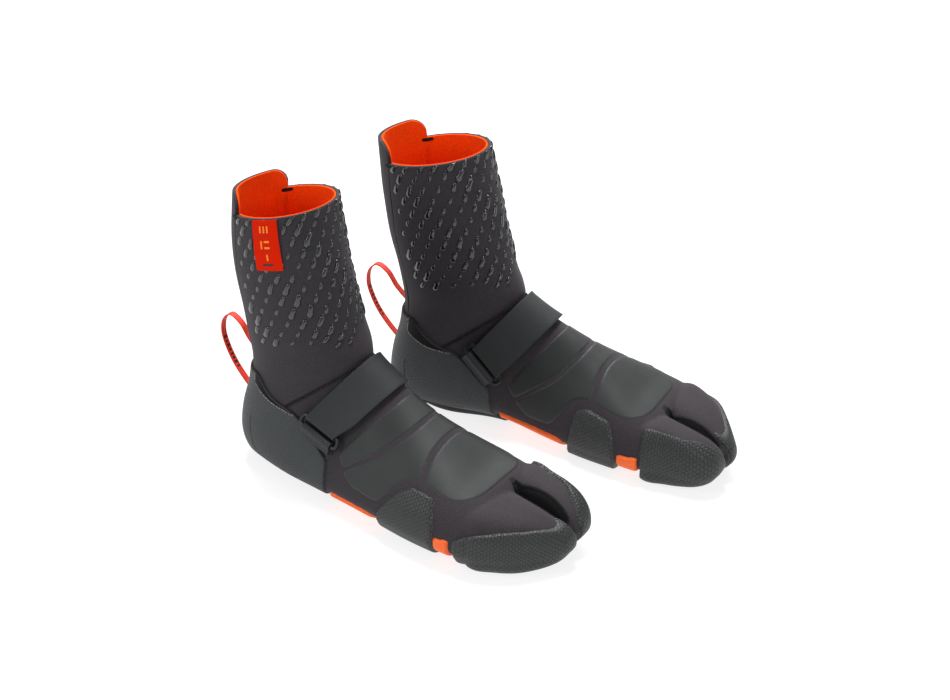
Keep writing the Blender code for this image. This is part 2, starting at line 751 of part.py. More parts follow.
def band_rows(path, ways, low, first=0.0):
    """Rows of points for a band of webbing lying on the foot at the heights given."""
    inner, outer = [], []
    for way, base in zip(ways, low):
        hits = [path.on_foot(first + (1 - first) * k / 4, way) for k in range(5)]
        inner.append([place + up * base for place, up in hits])
        outer.append([place + up * (base + WEBBING) for place, up in hits])
    return inner, outer


def fold_rows(frame, bar, start, stop):
    """Rows of points where the strap goes round a ring's bar, by angle from outward."""
    along, up, out = frame[1:]
    width = STRAP_EDGES[1] - STRAP_EDGES[0] - 1
    columns_across = [bar + along * width * (k / 4 - 0.5) for k in range(5)]
    inner, outer = [], []
    for i in range(7):
        angle = radians(start + (stop - start) * i / 6)
        direction = out * cos(angle) - up * sin(angle)
        inner.append([place + direction * BAR_RADIUS for place in columns_across])
        outer.append([place + direction * (BAR_RADIUS + WEBBING) for place in columns_across])
    return inner, outer


def bars(frame):
    """Middles of the ring's two long bars: toward the strap, and toward the web loop."""
    middle, _, up, out = frame
    front = middle + out * BAR_HEIGHT
    rear = front - up * (RING_WIDTH - RING_ROD)
    return front, rear


def strap_base(path, near):
    """The strap from its sewn loop round the far ring to the near ring."""
    far = -near
    far_frame = path.ring_frame(far)
    front_bar = bars(far_frame)[0]
    ways = [far * w for w in STRAP_WAYS] + [near * w for w in reversed(STRAP_WAYS[:-1])]
    ways.append(near * 0.75)
    low = [STRAP_LIFT] * len(ways)
    inner, outer = band_rows(path, ways, low)
    fold_in, fold_out = fold_rows(far_frame, front_bar, 180, 20)
    lead = far_frame[2] * 2.2
    turned_in = fold_out[::-1] + [[p + lead for p in fold_out[0]]]
    turned_out = fold_in[::-1] + [[p + lead for p in fold_in[0]]]
    return skin(turned_in + inner, turned_out + outer)


def strap_flap(path, near):
    """The folded-back part: round the near ring's bar, then over the strap past the top."""
    frame = path.ring_frame(near)
    front_bar = bars(frame)[0]
    fold_in, fold_out = fold_rows(frame, front_bar, 150, 0)
    ways = [near * w for w in STRAP_WAYS] + [-near * 0.15, -near * 0.3]
    low = [FLAP_LIFT + more for more in (0.8, 0.3, 0, 0, 0, 0, 0.6, 1.3)]
    inner, outer = band_rows(path, ways, low, FLAP_TRIM)
    return skin(fold_in + inner, fold_out + outer)


def ring(frame):
    """A rounded rectangular plastic ring."""
    along, up, out = frame[1:]
    front, rear = bars(frame)
    centre = (front + rear) / 2
    half_long = (RING_LENGTH - RING_ROD) / 2
    half_wide = (RING_WIDTH - RING_ROD) / 2
    path = []
    for x, y, start in ((1, 1, 0), (-1, 1, 90), (-1, -1, 180), (1, -1, 270)):
        for k in range(3):
            angle = radians(start + 45 * k)
            path.append(((half_long - RING_CORNER) * x + RING_CORNER * cos(angle),
                         (half_wide - RING_CORNER) * y + RING_CORNER * sin(angle)))
    bm = bmesh.new()
    rows = []
    count = len(path)
    for i, (x, y) in enumerate(path):
        before = Vector(path[i - 1])
        after = Vector(path[(i + 1) % count])
        flow = (after - before).normalized()
        side = along * flow.y - up * flow.x
        place = centre + along * x + up * y
        rows.append([bm.verts.new(place + (side * cos(a) + out * sin(a)) * RING_ROD / 2)
                     for a in [2 * pi * k / 6 for k in range(6)]])
    grid_faces(bm, rows + [rows[0]], closed=True)
    return finish(bm)


def web_loop(frame):
    """Webbing folded round the ring's rear bar, its two ends sewn together on the foot."""
    along, up, out = frame[1:]
    rear = bars(frame)[1]
    reach = BAR_RADIUS + WEBBING
    turns = [radians(-140 + 280 * k / 12) for k in range(13)]
    outline = [(cos(turn) * reach, sin(turn) * reach) for turn in turns]
    outline.append((-reach - WEB_TAIL, WEB_FOOT + WEB_DOUBLE))
    outline.append((-reach - WEB_TAIL, WEB_FOOT))
    circle = [2 * pi * k / 12 for k in range(12)]
    hole = [(cos(turn) * BAR_RADIUS, sin(turn) * BAR_RADIUS) for turn in circle]

    def profile(points, shift):
        return [rear + up * x + out * y + along * shift for x, y in points]

    block = ruled_solid(profile(outline, -WEB_WIDTH / 2), profile(outline, WEB_WIDTH / 2))
    drill = ruled_solid(profile(hole, -WEB_WIDTH), profile(hole, WEB_WIDTH))
    return largest_part(boolean(block, drill, "DIFFERENCE"))


# ================================================================ small trim
def tape_loop():
    """The pull loop: tape bent back and up from the heel cup to the shaft."""
    path = []
    last = TAPE_STEPS - 1
    for i in range(TAPE_STEPS):
        u = (len(TAPE_PATH) - 1) * i / last
        path.append(Vector((between([p[0] for p in TAPE_PATH], u), 0,
                            between([p[1] for p in TAPE_PATH], u))))
    half = Vector((0, TAPE_WIDTH / 2, 0))
    inner, outer = [], []
    for i, place in enumerate(path):
        flow = (path[min(i + 1, last)] - path[max(i - 1, 0)]).normalized()
        side = Vector((-flow.z, 0, flow.x)) * TAPE_THICKNESS / 2
        inner.append([place + side - half, place + side + half])
        outer.append([place - side - half, place - side + half])
    return skin(inner, outer), path


def collar_label():
    """A flat tape label hanging from the collar on the outside of the shaft."""
    inner, outer = [], []
    for i in range(7):
        u = 0.02 + i * (LABEL_LENGTH / STATION_HEIGHT) / 6
        line_in, line_out = [], []
        for k in range(6):
            angle = radians(LABEL_ANGLES[0] + (LABEL_ANGLES[1] - LABEL_ANGLES[0]) * k / 5)
            line_in.append(offset_point(body, u, angle, 0.7, END))
            line_out.append(offset_point(body, u, angle, 1.5, END))
        inner.append(line_in)
        outer.append(line_out)
    return skin(inner, outer)


def bartack(side):
    """A short thick bar of stitching across the seam just under the collar."""
    inner, outer = [], []
    for u in (0.10, 0.17):
        line_in, line_out = [], []
        for k in range(4):
            angle = radians(side * (SEAM_ANGLE_TOP + 8 * (k / 3 - 0.4)))
            line_in.append(offset_point(body, u, angle, 0.5, END))
            line_out.append(offset_point(body, u, angle, 1.5, END))
        inner.append(line_in)
        outer.append(line_out)
    return skin(inner, outer)


# ================================================================ one boot
class Boot:
    """Puts meshes made in (s, m, z) millimetres into the shared frame as named objects."""

    def __init__(self, name, side):
        self.name = name
        self.side = side
        self.root = bpy.data.objects.new(name + "_boot", None)
        bpy.context.scene.collection.objects.link(self.root)
        self.root.location = Vector((*HEEL_AT[name], 0)) * MM
        self.root.rotation_euler = (0, 0, radians(-side * TOE_OUT[name]))

    def to_boot(self, point):
        """A place in the boot's own frame, with the lean of the shaft; its front leans less."""
        high = max(0.0, (point.z - LEAN_FROM) / LEAN_HEIGHT)
        forward = LEAN[self.name] * high * high * (1 - (point.x + 10) / 95)
        return Vector((-self.side * point.y, -point.x - forward, point.z)) * MM

    def add(self, piece, mesh, colour, origin=None):
        """One named object; its origin is the middle of the piece or the point given."""
        bm = bmesh.new()
        bm.from_mesh(mesh)
        places = [self.to_boot(v.co) for v in bm.verts]
        if origin is None:
            low = Vector([min(p[i] for p in places) for i in range(3)])
            high = Vector([max(p[i] for p in places) for i in range(3)])
            start = (low + high) / 2
        else:
            start = self.to_boot(origin)
        for vert, place in zip(bm.verts, places):
            vert.co = place - start
        turn_outward(bm)
        made = bpy.data.meshes.new(self.name + "_" + piece)
        bm.to_mesh(made)
        bm.free()
        made.materials.append(material(colour))
        thing = bpy.data.objects.new(self.name + "_" + piece, made)
        bpy.context.scene.collection.objects.link(thing)
        thing.parent = self.root
        thing.location = start
        for polygon in made.polygons:
            polygon.use_smooth = True
        return thing


def build_boot(name, side, near):
    """All pieces of one boot; near is the side (1 lateral, -1 medial) with the folded strap end."""
    boot = Boot(name, side)
    shell = foot_skin(-NEOPRENE, 0, AROUND, FOOT_RINGS, TOE_RINGS)
    boot.add("foot_shell", shell, "neoprene")
    lining = foot_skin(LINING_IN - LINING_EASE, LINING_OUT - LINING_EASE, AROUND_LINING,
                       LINING_RINGS, LINING_TOE_RINGS)
    boot.add("foot_lining", lining, "lining")
    boot.add("shaft_front_panel", front_panel(), "neoprene")
    boot.add("shaft_back_panel", back_panel(), "neoprene")
    boot.add("shaft_lining", shaft_lining(), "lining")
    boot.add("heel_cup", heel_cup(), "cup_fabric")
    boot.add("instep_panel_rear", instep_rear(), "print")
    boot.add("instep_panel_middle", instep_middle(), "print")
    boot.add("instep_panel_front", instep_front(), "print")
    boot.add("midsole", midsole(), "orange_foam")
    boot.add("heel_outsole", heel_outsole(), "rubber")
    boot.add("forefoot_outsole", forefoot_outsole(), "rubber")
    boot.add("toe_cap", toe_cap(), "rubber")
    boot.add("big_toe_cap", big_toe_cap(), "rubber")
    boot.add("insole", insole(), "foam")
    path = StrapPath()
    for direction, label in ((1, "lateral"), (-1, "medial")):
        frame = path.ring_frame(direction)
        front_bar, rear_bar = bars(frame)
        boot.add("ring_" + label, ring(frame), "ring_plastic", rear_bar)
        boot.add("web_loop_" + label, web_loop(frame), "black_web")
        if direction == near:
            boot.add("strap_flap", strap_flap(path, near), "webbing", front_bar)
    boot.add("strap", strap_base(path, near), "webbing")
    loop, loop_path = tape_loop()
    boot.add("pull_loop", loop, "red_tape", (loop_path[0] + loop_path[-1]) / 2)
    boot.add("collar_bartack_lateral", bartack(1), "thread")
    boot.add("collar_bartack_medial", bartack(-1), "thread")
    if name == "right":
        first = offset_point(body, 0.02, radians(LABEL_ANGLES[0]), 1.1, END)
        last = offset_point(body, 0.02, radians(LABEL_ANGLES[1]), 1.1, END)
        boot.add("collar_label", collar_label(), "orange_foam", (first + last) / 2)


clear_scene()
build_boot("right", 1, 1)
build_boot("left", -1, -1)
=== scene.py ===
import json
from math import atan2, cos, exp, pi, radians, sin, sqrt

import bmesh
import bpy
import numpy as np
from mathutils import Matrix, Vector
from mathutils.bvhtree import BVHTree


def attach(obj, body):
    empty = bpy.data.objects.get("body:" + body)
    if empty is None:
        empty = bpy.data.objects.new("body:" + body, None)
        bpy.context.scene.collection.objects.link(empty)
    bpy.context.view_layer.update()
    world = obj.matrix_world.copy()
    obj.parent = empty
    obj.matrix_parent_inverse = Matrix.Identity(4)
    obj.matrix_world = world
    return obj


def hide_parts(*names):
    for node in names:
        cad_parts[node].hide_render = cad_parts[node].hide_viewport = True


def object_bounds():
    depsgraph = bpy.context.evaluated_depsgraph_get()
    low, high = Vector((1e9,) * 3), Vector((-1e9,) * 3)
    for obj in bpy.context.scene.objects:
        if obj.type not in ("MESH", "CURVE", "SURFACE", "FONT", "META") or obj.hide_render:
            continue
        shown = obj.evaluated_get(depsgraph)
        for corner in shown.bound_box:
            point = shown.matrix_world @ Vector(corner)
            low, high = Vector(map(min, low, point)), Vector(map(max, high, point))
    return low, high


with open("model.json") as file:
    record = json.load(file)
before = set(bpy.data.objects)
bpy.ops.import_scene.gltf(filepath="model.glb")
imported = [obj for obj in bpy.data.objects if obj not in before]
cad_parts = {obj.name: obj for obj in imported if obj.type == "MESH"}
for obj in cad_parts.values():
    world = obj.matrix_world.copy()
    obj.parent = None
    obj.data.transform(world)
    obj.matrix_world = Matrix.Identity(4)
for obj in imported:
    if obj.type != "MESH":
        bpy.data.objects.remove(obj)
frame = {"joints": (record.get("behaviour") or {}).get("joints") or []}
CAD_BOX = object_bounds()

# Boot coordinates are millimetres: s forward from the heel, m toward the little toe, z up.
MM = 0.001

# The soft shafts lean forward above the ankle: how far, in mm, at the collar's back edge.
LEAN = {"right": 8.0, "left": 0.0}
LEAN_FROM = 105.0
LEAN_HEIGHT = 90.0

# ---------------------------------------------------------------- thicknesses
# Glue line between bonded layers, then the layers themselves.
GAP = 0.5
NEOPRENE = 2.5
LINING = 1.2
CUP = 1.5
PATCH = 1.7
WEBBING = 1.4
SOLE_TO_FLOOR = 6.5
MIDSOLE_THICK = 1.5
OUTSOLE = 2.6
PRINT = 0.55

# ---------------------------------------------------------------- form of the boot
# back or bottom (s, z), front or top (s, z), half width lateral, half width medial,
# squareness at the bottom, squareness at the top, where the section is widest
STATIONS = [
    ("collar", (-13, 195), (70, 213), 34.5, 34.5, 2.0, 2.0, 0.50),
    ("shaft_high", (-10, 168), (77, 185), 35.0, 35.0, 2.0, 2.0, 0.50),
    ("shaft_middle", (-4.5, 140), (85, 156), 35.0, 35.0, 2.0, 2.0, 0.50),
    ("shaft_low", (2.5, 111), (93, 128), 34.5, 34.5, 1.95, 2.0, 0.49),
    ("ankle", (7.5, 86), (99, 114), 34.0, 34.0, 1.95, 2.0, 0.47),
    ("ankle_back", (6.5, 64), (101, 110), 34.0, 33.5, 2.0, 2.0, 0.45),
    ("heel_back", (1.5, 42), (102.5, 106.5), 33.8, 33.0, 2.2, 2.0, 0.41),
    ("seam", (1, 20.8), (104, 103.2), 33.0, 32.0, 2.5, 2.0, 0.37),
    ("heel_low", (9, 8.5), (112, 98.5), 33.5, 31.0, 2.8, 2.0, 0.33),
    ("heel_end", (25, 5.5), (124, 92), 35.5, 30.0, 3.0, 2.0, 0.30),
    ("heel_front", (50, 5), (137, 85.5), 39.5, 29.0, 3.2, 2.0, 0.28),
    ("waist", (78, 5.5), (149, 79.5), 43.0, 28.5, 3.2, 2.0, 0.28),
    ("arch", (108, 6), (161, 73.5), 46.5, 30.0, 3.2, 2.05, 0.28),
    ("ball_back", (138, 6), (174, 67.5), 50.5, 33.5, 3.2, 2.1, 0.30),
    ("ball", (168, 5.5), (187, 61), 54.0, 37.5, 3.2, 2.2, 0.33),
    ("toe_root", (196, 5.5), (201, 54), 55.5, 40.0, 3.2, 2.4, 0.37),
    ("crotch", (216, 5.5), (217, 48), 54.0, 40.0, 3.2, 2.5, 0.40),
    ("crotch_end", (224, 9), (224, 43), 46.0, 34.0, 3.0, 2.6, 0.40),
]
SEAM, END = 7, 17

# The two toe lobes, which all but touch along the slit:
# bottom (s, z), top (s, z), centre line m, half width
FOUR_TOES = [
    ("root", (209, 10), (209, 42), 24.0, 25.0),
    ("base", (221, 5.6), (221, 45), 24.2, 28.2),
    ("knuckle", (233, 5.8), (234, 43), 22.0, 25.6),
    ("middle", (246, 6.5), (246, 39.5), 18.0, 21.6),
    ("nail", (257, 8), (256, 34.5), 11.9, 15.9),
    ("front", (266, 10.5), (264, 29.5), 6.0, 10.6),
    ("tip", (271, 14.5), (270, 24), 2.0, 6.5),
]
BIG_TOE = [
    ("root", (209, 10), (209, 43), -20.0, 16.0),
    ("base", (221, 5.8), (221, 45.5), -21.0, 18.0),
    ("knuckle", (233, 6.2), (234, 43.5), -20.5, 16.0),
    ("middle", (246, 7.5), (246, 40.5), -20.3, 15.5),
    ("nail", (257, 9), (256, 36.5), -19.3, 14.3),
    ("front", (265, 11.5), (264, 31), -17.4, 11.9),
    ("tip", (269, 15.5), (268.5, 25), -15.5, 8.5),
]
TOE_SQUARE = (2.8, 3.2)
TOE_WIDEST = 0.4

# The arch on the medial side: how high the sole lifts, where, and over what length.
ARCH_LIFT = 7.0

# The slit between the toes, seen from above: an eye between two places (s, m).
SLIT_ENDS = ((221.0, -3.8), (263.0, -5.0))
SLIT_HALF = 4.6
SLIT_DEPTH = 12.0
SLIT_WALL = 2.2
SLIT_BINDING = 3.0
ARCH_AT = 96.0
ARCH_SPREAD = 34.0

# The vertical seams, in degrees from the back line, and the back tab between them.
SEAM_ANGLE_TOP = 58.0
SEAM_ANGLE_LOW = 44.0
TAB_HEIGHT = 15.0
TAB_CORNER = 12.0
COLLAR_HALF = 34.5

# One step of u down the shaft, and the radius that turns degrees on the shaft into millimetres.
STATION_HEIGHT = 28.5
SHAFT_RADIUS = 38.0


# ================================================================ the form
def between(values, u):
    """Smooth curves through evenly spaced rows of values (Catmull-Rom), for an array of u."""
    last = len(values) - 1
    i = np.clip(u.astype(int), 0, last - 1)
    t = (u - i)[:, None]
    p0 = values[np.maximum(i - 1, 0)]
    p1 = values[i]
    p2 = values[i + 1]
    p3 = values[np.minimum(i + 2, last)]
    return 0.5 * (2 * p1 + (p2 - p0) * t + (2 * p0 - 5 * p1 + 4 * p2 - p3) * t * t
                  + (3 * p1 - p0 - 3 * p2 + p3) * t ** 3)


def rows_of(stations):
    """The station values as one array, a row for each station."""
    made = []
    for row in stations:
        numbers = []
        for value in row[1:]:
            numbers.extend(value if isinstance(value, tuple) else (value,))
        made.append(numbers)
    return np.array(made, dtype=float)


BODY_ROWS = rows_of(STATIONS)
FOUR_ROWS = rows_of(FOUR_TOES)
BIG_ROWS = rows_of(BIG_TOE)


def power(value, exponent):
    """The signed power that squares off a round section: 2 is an ellipse."""
    return np.sign(value) * np.abs(value) ** (2.0 / exponent)


def section(back, front, centre, lateral, medial, low, top, widest, angle):
    """Points of rounded sections: angle 0 at the back or bottom, pi at the front or top."""
    across = np.cos(angle)
    side = np.sin(angle)
    square = np.where(across > 0, low, top)
    reach = np.where(across > 0, widest, 1 - widest)
    along = widest - reach * power(across, square)
    half = np.where(side >= 0, lateral, medial)
    s = back[0] + (front[0] - back[0]) * along
    z = back[1] + (front[1] - back[1]) * along
    return np.stack([s, centre + half * power(side, square), z], axis=1)


def body(u, angle):
    """The neoprene surface from the collar (u = 0) to the crotch of the toes (u = 17)."""
    sb, zb, sf, zf, lateral, medial, low, top, widest = between(BODY_ROWS, u).T
    points = section((sb, zb), (sf, zf), 0.0, lateral, medial, low, top, widest, angle)
    deep = np.clip((45 - points[:, 2]) / 40, 0, 1)
    inside = np.clip(-points[:, 1] / 30, 0, 1)
    spread = (points[:, 0] - ARCH_AT) / ARCH_SPREAD
    points[:, 2] += ARCH_LIFT * deep * inside * np.exp(-spread * spread)
    return points


def lobe(table):
    """The surface of one toe lobe, from its root (u = 0) to its tip."""
    def surface(u, angle):
        sb, zb, sf, zf, centre, half = between(table, u).T
        return section((sb, zb), (sf, zf), centre, half, half,
                       TOE_SQUARE[0], TOE_SQUARE[1], TOE_WIDEST, angle)
    return surface


def unit(vectors):
    """Rows of vectors brought to length 1."""
    return vectors / np.maximum(np.linalg.norm(vectors, axis=1, keepdims=True), 1e-9)


def outward(surface, u, angle, last):
    """Unit normals of a surface, by small steps on it."""
    step = 0.02
    around = surface(u, angle + step) - surface(u, angle - step)
    ahead = surface(np.minimum(u + step, last), angle) - surface(np.maximum(u - step, 0), angle)
    return unit(np.cross(around, ahead))


def ripple(u, angle):
    """Slack in the shaft's neoprene, in millimetres; none at the collar and at the ankle seam."""
    fade = np.clip(u / 1.2, 0, 1) * np.clip((5.2 - u) / 1.6, 0, 1)
    waves = (0.5 * np.sin(2.1 * angle + 1.3 * u + 0.6) + 0.35 * np.sin(3.3 * angle - 2.4 * u + 1.9)
             + 0.25 * np.sin(1.2 * angle + 4.1 * u))
    return 0.55 * fade * waves


def shaft(angle_degrees, u, offset, height=None):
    """Points of the shaft; above the collar they follow the shaft's own direction."""
    angle = np.radians(angle_degrees)
    normal = outward(body, u, angle, END)
    points = body(u, angle) + normal * (offset + ripple(u, angle))[:, None]
    if height is not None:
        rise = unit(body(np.zeros_like(u), angle) - body(np.full_like(u, 0.4), angle))
        points = points + rise * height[:, None]
    return points


def tab_top(part):
    """Height of the back tab above the collar; part runs -1 to 1 across the back panel."""
    half = COLLAR_HALF * radians(SEAM_ANGLE_TOP)
    into = np.maximum(0.0, np.abs(part) * half - (half - TAB_CORNER))
    return TAB_HEIGHT - TAB_CORNER + np.sqrt(np.maximum(TAB_CORNER ** 2 - into ** 2, 0.0))


def seam_angle(u):
    """Angle of the vertical seams from the back line, in degrees."""
    return SEAM_ANGLE_TOP + (SEAM_ANGLE_LOW - SEAM_ANGLE_TOP) * np.minimum(u / 4, 1.0)


# ================================================================ mesh helpers
def mesh_from(points, faces, name):
    """A new mesh from places and faces."""
    made = bpy.data.meshes.new(name)
    made.from_pydata([tuple(p) for p in points], [], [tuple(f) for f in faces])
    made.update()
    return made


def grid_quads(rows, columns, closed=False):
    """Faces of a grid of points stored row by row."""
    r, c = np.meshgrid(np.arange(rows - 1), np.arange(columns if closed else columns - 1),
                       indexing="ij")
    r, c = r.ravel(), c.ravel()
    following = (c + 1) % columns
    return np.stack([r * columns + c, r * columns + following,
                     (r + 1) * columns + following, (r + 1) * columns + c], axis=1)


def sheet_mesh(inner, outer, closed=False):
    """A sheet with thickness from two grids of points, as arrays of rows x columns x 3."""
    rows, columns = inner.shape[:2]
    count = rows * columns
    points = np.concatenate([inner.reshape(-1, 3), outer.reshape(-1, 3)])
    quads = grid_quads(rows, columns, closed)
    faces = [quads[:, ::-1], quads + count]
    edges = [np.arange(columns), (rows - 1) * columns + np.arange(columns)]
    if not closed:
        edges += [np.arange(rows) * columns, np.arange(rows) * columns + columns - 1]
    for k, edge in enumerate(edges):
        ends = [edge[:-1], edge[1:]]
        if closed:
            ends = [edge, np.roll(edge, -1)]
        strip = np.stack([ends[0], ends[1], ends[1] + count, ends[0] + count], axis=1)
        faces.append(strip if k in (0, 3) else strip[:, ::-1])
    return points, np.concatenate(faces)


def tidy(mesh):
    """Faces point outward and are shaded smooth."""
    bm = bmesh.new()
    bm.from_mesh(mesh)
    bmesh.ops.recalc_face_normals(bm, faces=bm.faces)
    if bm.calc_volume(signed=True) < 0:
        bmesh.ops.reverse_faces(bm, faces=bm.faces)
    bm.to_mesh(mesh)
    bm.free()
    return shaded(mesh)


def applied(mesh, *modifiers):
    """The mesh after modifiers given as (type, {setting: value})."""
    thing = bpy.data.objects.new("work", mesh)
    bpy.context.scene.collection.objects.link(thing)
    for kind, settings in modifiers:
        modifier = thing.modifiers.new(kind, kind)
        for setting, value in settings.items():
            setattr(modifier, setting, value)
    graph = bpy.context.evaluated_depsgraph_get()
    made = bpy.data.meshes.new_from_object(thing.evaluated_get(graph))
    bpy.data.objects.remove(thing, do_unlink=True)
    return made


def arrays(mesh):
    """Vertex places, vertex normals and faces of a mesh."""
    count = len(mesh.vertices)
    points = np.empty(count * 3)
    normals = np.empty(count * 3)
    mesh.vertices.foreach_get("co", points)
    mesh.vertices.foreach_get("normal", normals)
    faces = [tuple(p.vertices) for p in mesh.polygons]
    return points.reshape(-1, 3), normals.reshape(-1, 3), faces


def shaded(mesh):
    """Shades a mesh smooth."""
    mesh.polygons.foreach_set("use_smooth", [True] * len(mesh.polygons))
    return mesh


def store(mesh, name, values):
    """Keeps one number or one vector for each vertex, for a material to read."""
    values = np.asarray(values, dtype=float)
    kind, field = ("FLOAT", "value") if values.ndim == 1 else ("FLOAT_VECTOR", "vector")
    layer = mesh.attributes.new(name, kind, "POINT")
    layer.data.foreach_set(field, values.ravel())


# ================================================================ the foot form
def closed_form(surface, low, high, rings, around, last, offset, nose):
    """A closed solid along a surface, its far end drawn to a point `nose` further on."""
    u = np.repeat(np.linspace(low, high, rings), around)
    angle = np.tile(np.linspace(0, 2 * pi, around, endpoint=False), rings)
    points = surface(u, angle) + outward(surface, u, angle, last) * offset
    faces = [tuple(f) for f in grid_quads(rings, around, True)]
    faces.append(tuple(range(around)))
    tip = points[-around:].mean(axis=0) + np.array([nose, 0, 0])
    top = len(points)
    start = top - around
    faces += [(start + i, start + (i + 1) % around, top) for i in range(around)]
    return np.vstack([points, tip]), faces


def foot_form(first, offset, voxel, smooth):
    """The whole foot with its two toe lobes melted into one smooth skin."""
    points, faces = [], []
    forms = [closed_form(body, first, END, 90, 96, END, offset, 0.5)]
    for table in (FOUR_ROWS, BIG_ROWS):
        forms.append(closed_form(lobe(table), 0, 6, 40, 64, 6, offset, 1.5 + 0.4 * offset))
    start = 0
    for form_points, form_faces in forms:
        points.append(form_points)
        faces += [tuple(i + start for i in face) for face in form_faces]
        start += len(form_points)
    mesh = tidy(mesh_from(np.concatenate(points), faces, "form"))
    mesh = applied(mesh, ("REMESH", {"mode": "VOXEL", "voxel_size": voxel, "use_smooth_shade": True}),
                   ("SMOOTH", {"factor": 0.5, "iterations": smooth}))
    return mesh


def slit_half(share):
    """Half the slit's opening, share 0 to 1 along it."""
    return SLIT_HALF * np.sin(np.clip(share, 0, 1) * pi) ** 0.8


def open_slit(mesh):
    """Sinks the skin inside the eye of the toe slit and marks the black binding round it."""
    points = arrays(mesh)[0]
    (s_back, m_back), (s_front, m_front) = SLIT_ENDS
    share = (points[:, 0] - s_back) / (s_front - s_back)
    away = np.abs(points[:, 1] - m_back - (m_front - m_back) * share)
    half = np.maximum(slit_half(share), 1e-6)
    sunk = np.clip((half - away) / SLIT_WALL, 0, 1)
    sunk = np.where((share > 0) & (share < 1) & (points[:, 2] > 20), sunk, 0)
    points[:, 2] -= SLIT_DEPTH * sunk * sunk * (3 - 2 * sunk) * np.clip((points[:, 2] - 20) / 14, 0, 1)
    mesh.vertices.foreach_set("co", points.ravel())
    mesh.update()
    beside = (share > -0.06) & (share < 1.02) & (points[:, 2] > 18)
    store(mesh, "binding", np.where(beside, np.clip((half + SLIT_BINDING - away) / 0.8, 0, 1), 0))


# ================================================================ outlines of the overlays
def rounded(points, segments=6):
    """An outline whose corners (s, z, radius) are replaced by arcs; (s, z) stays sharp."""
    made = []
    count = len(points)
    for i, (x, y, *radii) in enumerate(points):
        corner = Vector((x, y))
        if not radii:
            made.append(corner)
            continue
        before = Vector(points[i - 1][:2]) - corner
        after = Vector(points[(i + 1) % count][:2]) - corner
        reach = min(radii[0], before.length * 0.45, after.length * 0.45)
        start = corner + before.normalized() * reach
        stop = corner + after.normalized() * reach
        for k in range(segments + 1):
            t = k / segments
            made.append(start * (1 - t) ** 2 + corner * 2 * t * (1 - t) + stop * t * t)
    return np.array([tuple(p) for p in made])


def inside_distance(x, y, outlines):
    """How far inside an outline each point is (negative outside); one outline per point."""
    px = x[:, None]
    py = y[:, None]
    ax, ay = outlines[:, :, 0], outlines[:, :, 1]
    bx, by = np.roll(ax, -1, axis=1), np.roll(ay, -1, axis=1)
    dx, dy = bx - ax, by - ay
    t = np.clip(((px - ax) * dx + (py - ay) * dy) / np.maximum(dx * dx + dy * dy, 1e-9), 0, 1)
    away = np.hypot(px - ax - t * dx, py - ay - t * dy).min(axis=1)
    crosses = ((ay > py) != (by > py)) & (px < ax + dx * (py - ay) / np.where(dy == 0, 1e-9, dy))
    inside = crosses.sum(axis=1) % 2 == 1
    return np.where(inside, away, -away)


class Outline:
    """An outline in s and one other axis, blended between two levels of the axis across it."""

    def __init__(self, low, high, levels, axis, limits):
        self.low, self.high = low, high
        self.levels, self.axis, self.limits = levels, axis, limits

    def inside(self, points, batch=20000):
        """How far inside the outline each point is; negative outside."""
        low, high = self.levels
        found = np.empty(len(points))
        for start in range(0, len(points), batch):
            part = points[start:start + batch]
            share = (np.clip(part[:, 3 - self.axis], *self.limits) - low) / (high - low)
            outlines = self.low[None] + (self.high - self.low)[None] * share[:, None, None]
            found[start:start + batch] = inside_distance(part[:, 0], part[:, self.axis], outlines)
        return found


def side_outline(lateral, medial=None):
    """An outline seen from the side, given 40 mm out on the lateral and on the medial side."""
    lateral = rounded(lateral)
    medial = rounded(medial) if medial else lateral
    return Outline(medial, lateral, (-40.0, 40.0), 2, (-62.0, 62.0))


def top_outline(low, high):
    """An outline seen from above, given below the sole and at the top of the toes."""
    return Outline(np.array(low, float), np.array(high, float), (-5.0, 50.0), 1, (-20.0, 250.0))


HEEL_CUP = side_outline(
    [(-20, 75), (16, 78.5, 8), (30, 82.5, 10), (47, 66, 10), (66, 58.5, 10), (96, 38.5, 4),
     (96, -8), (-20, -8)],
    [(-20, 75), (16, 76.5, 8), (28, 79.5, 10), (50, 64, 10), (66, 60, 10), (91, 37, 4),
     (97, -8), (-20, -8)])
CUP_PILE = side_outline(
    [(27, 74, 2), (36, 69.5, 4), (46, 63.5, 4), (60, 58.5, 1), (70, 62), (50, 95), (27, 95)],
    [(23, 66.5, 2), (32, 64.5, 4), (42, 61, 4), (57, 60, 1), (70, 62), (50, 95), (23, 95)])
CUP_GROOVE = [(23.5, 45), (22.6, 38), (22.6, 30), (24.5, 21), (30, 15), (38, 12.6), (48, 12.4), (58, 13.4),
              (69, 15.2)]
INSTEP_REAR = side_outline(
    [(104.5, 46, 3), (114, 59, 8), (132, 79, 8), (146, 100), (168, 100), (153, 74, 8),
     (138, 59, 8), (111, 38.5, 3)],
    [(106, 42, 3), (115, 58, 8), (131, 78, 8), (146, 100), (168, 100), (152.5, 73, 8),
     (142, 58, 8), (112, 34.5, 3)])
INSTEP_MIDDLE = side_outline(
    [(111.5, 36, 3), (140, 56, 8), (156, 73, 8), (171, 100), (178, 100), (170.5, 66, 8),
     (174.5, 52, 2), (163, 49.5, 6), (150, 34, 6), (144, 27.5, 5), (121, 28, 5)],
    [(113, 32.5, 3), (144, 56, 8), (155.5, 73, 8), (171, 100), (178, 100), (170.5, 66, 8),
     (171, 51, 2), (160, 49, 6), (151, 36, 6), (143, 23.5, 5), (122, 24, 5)])
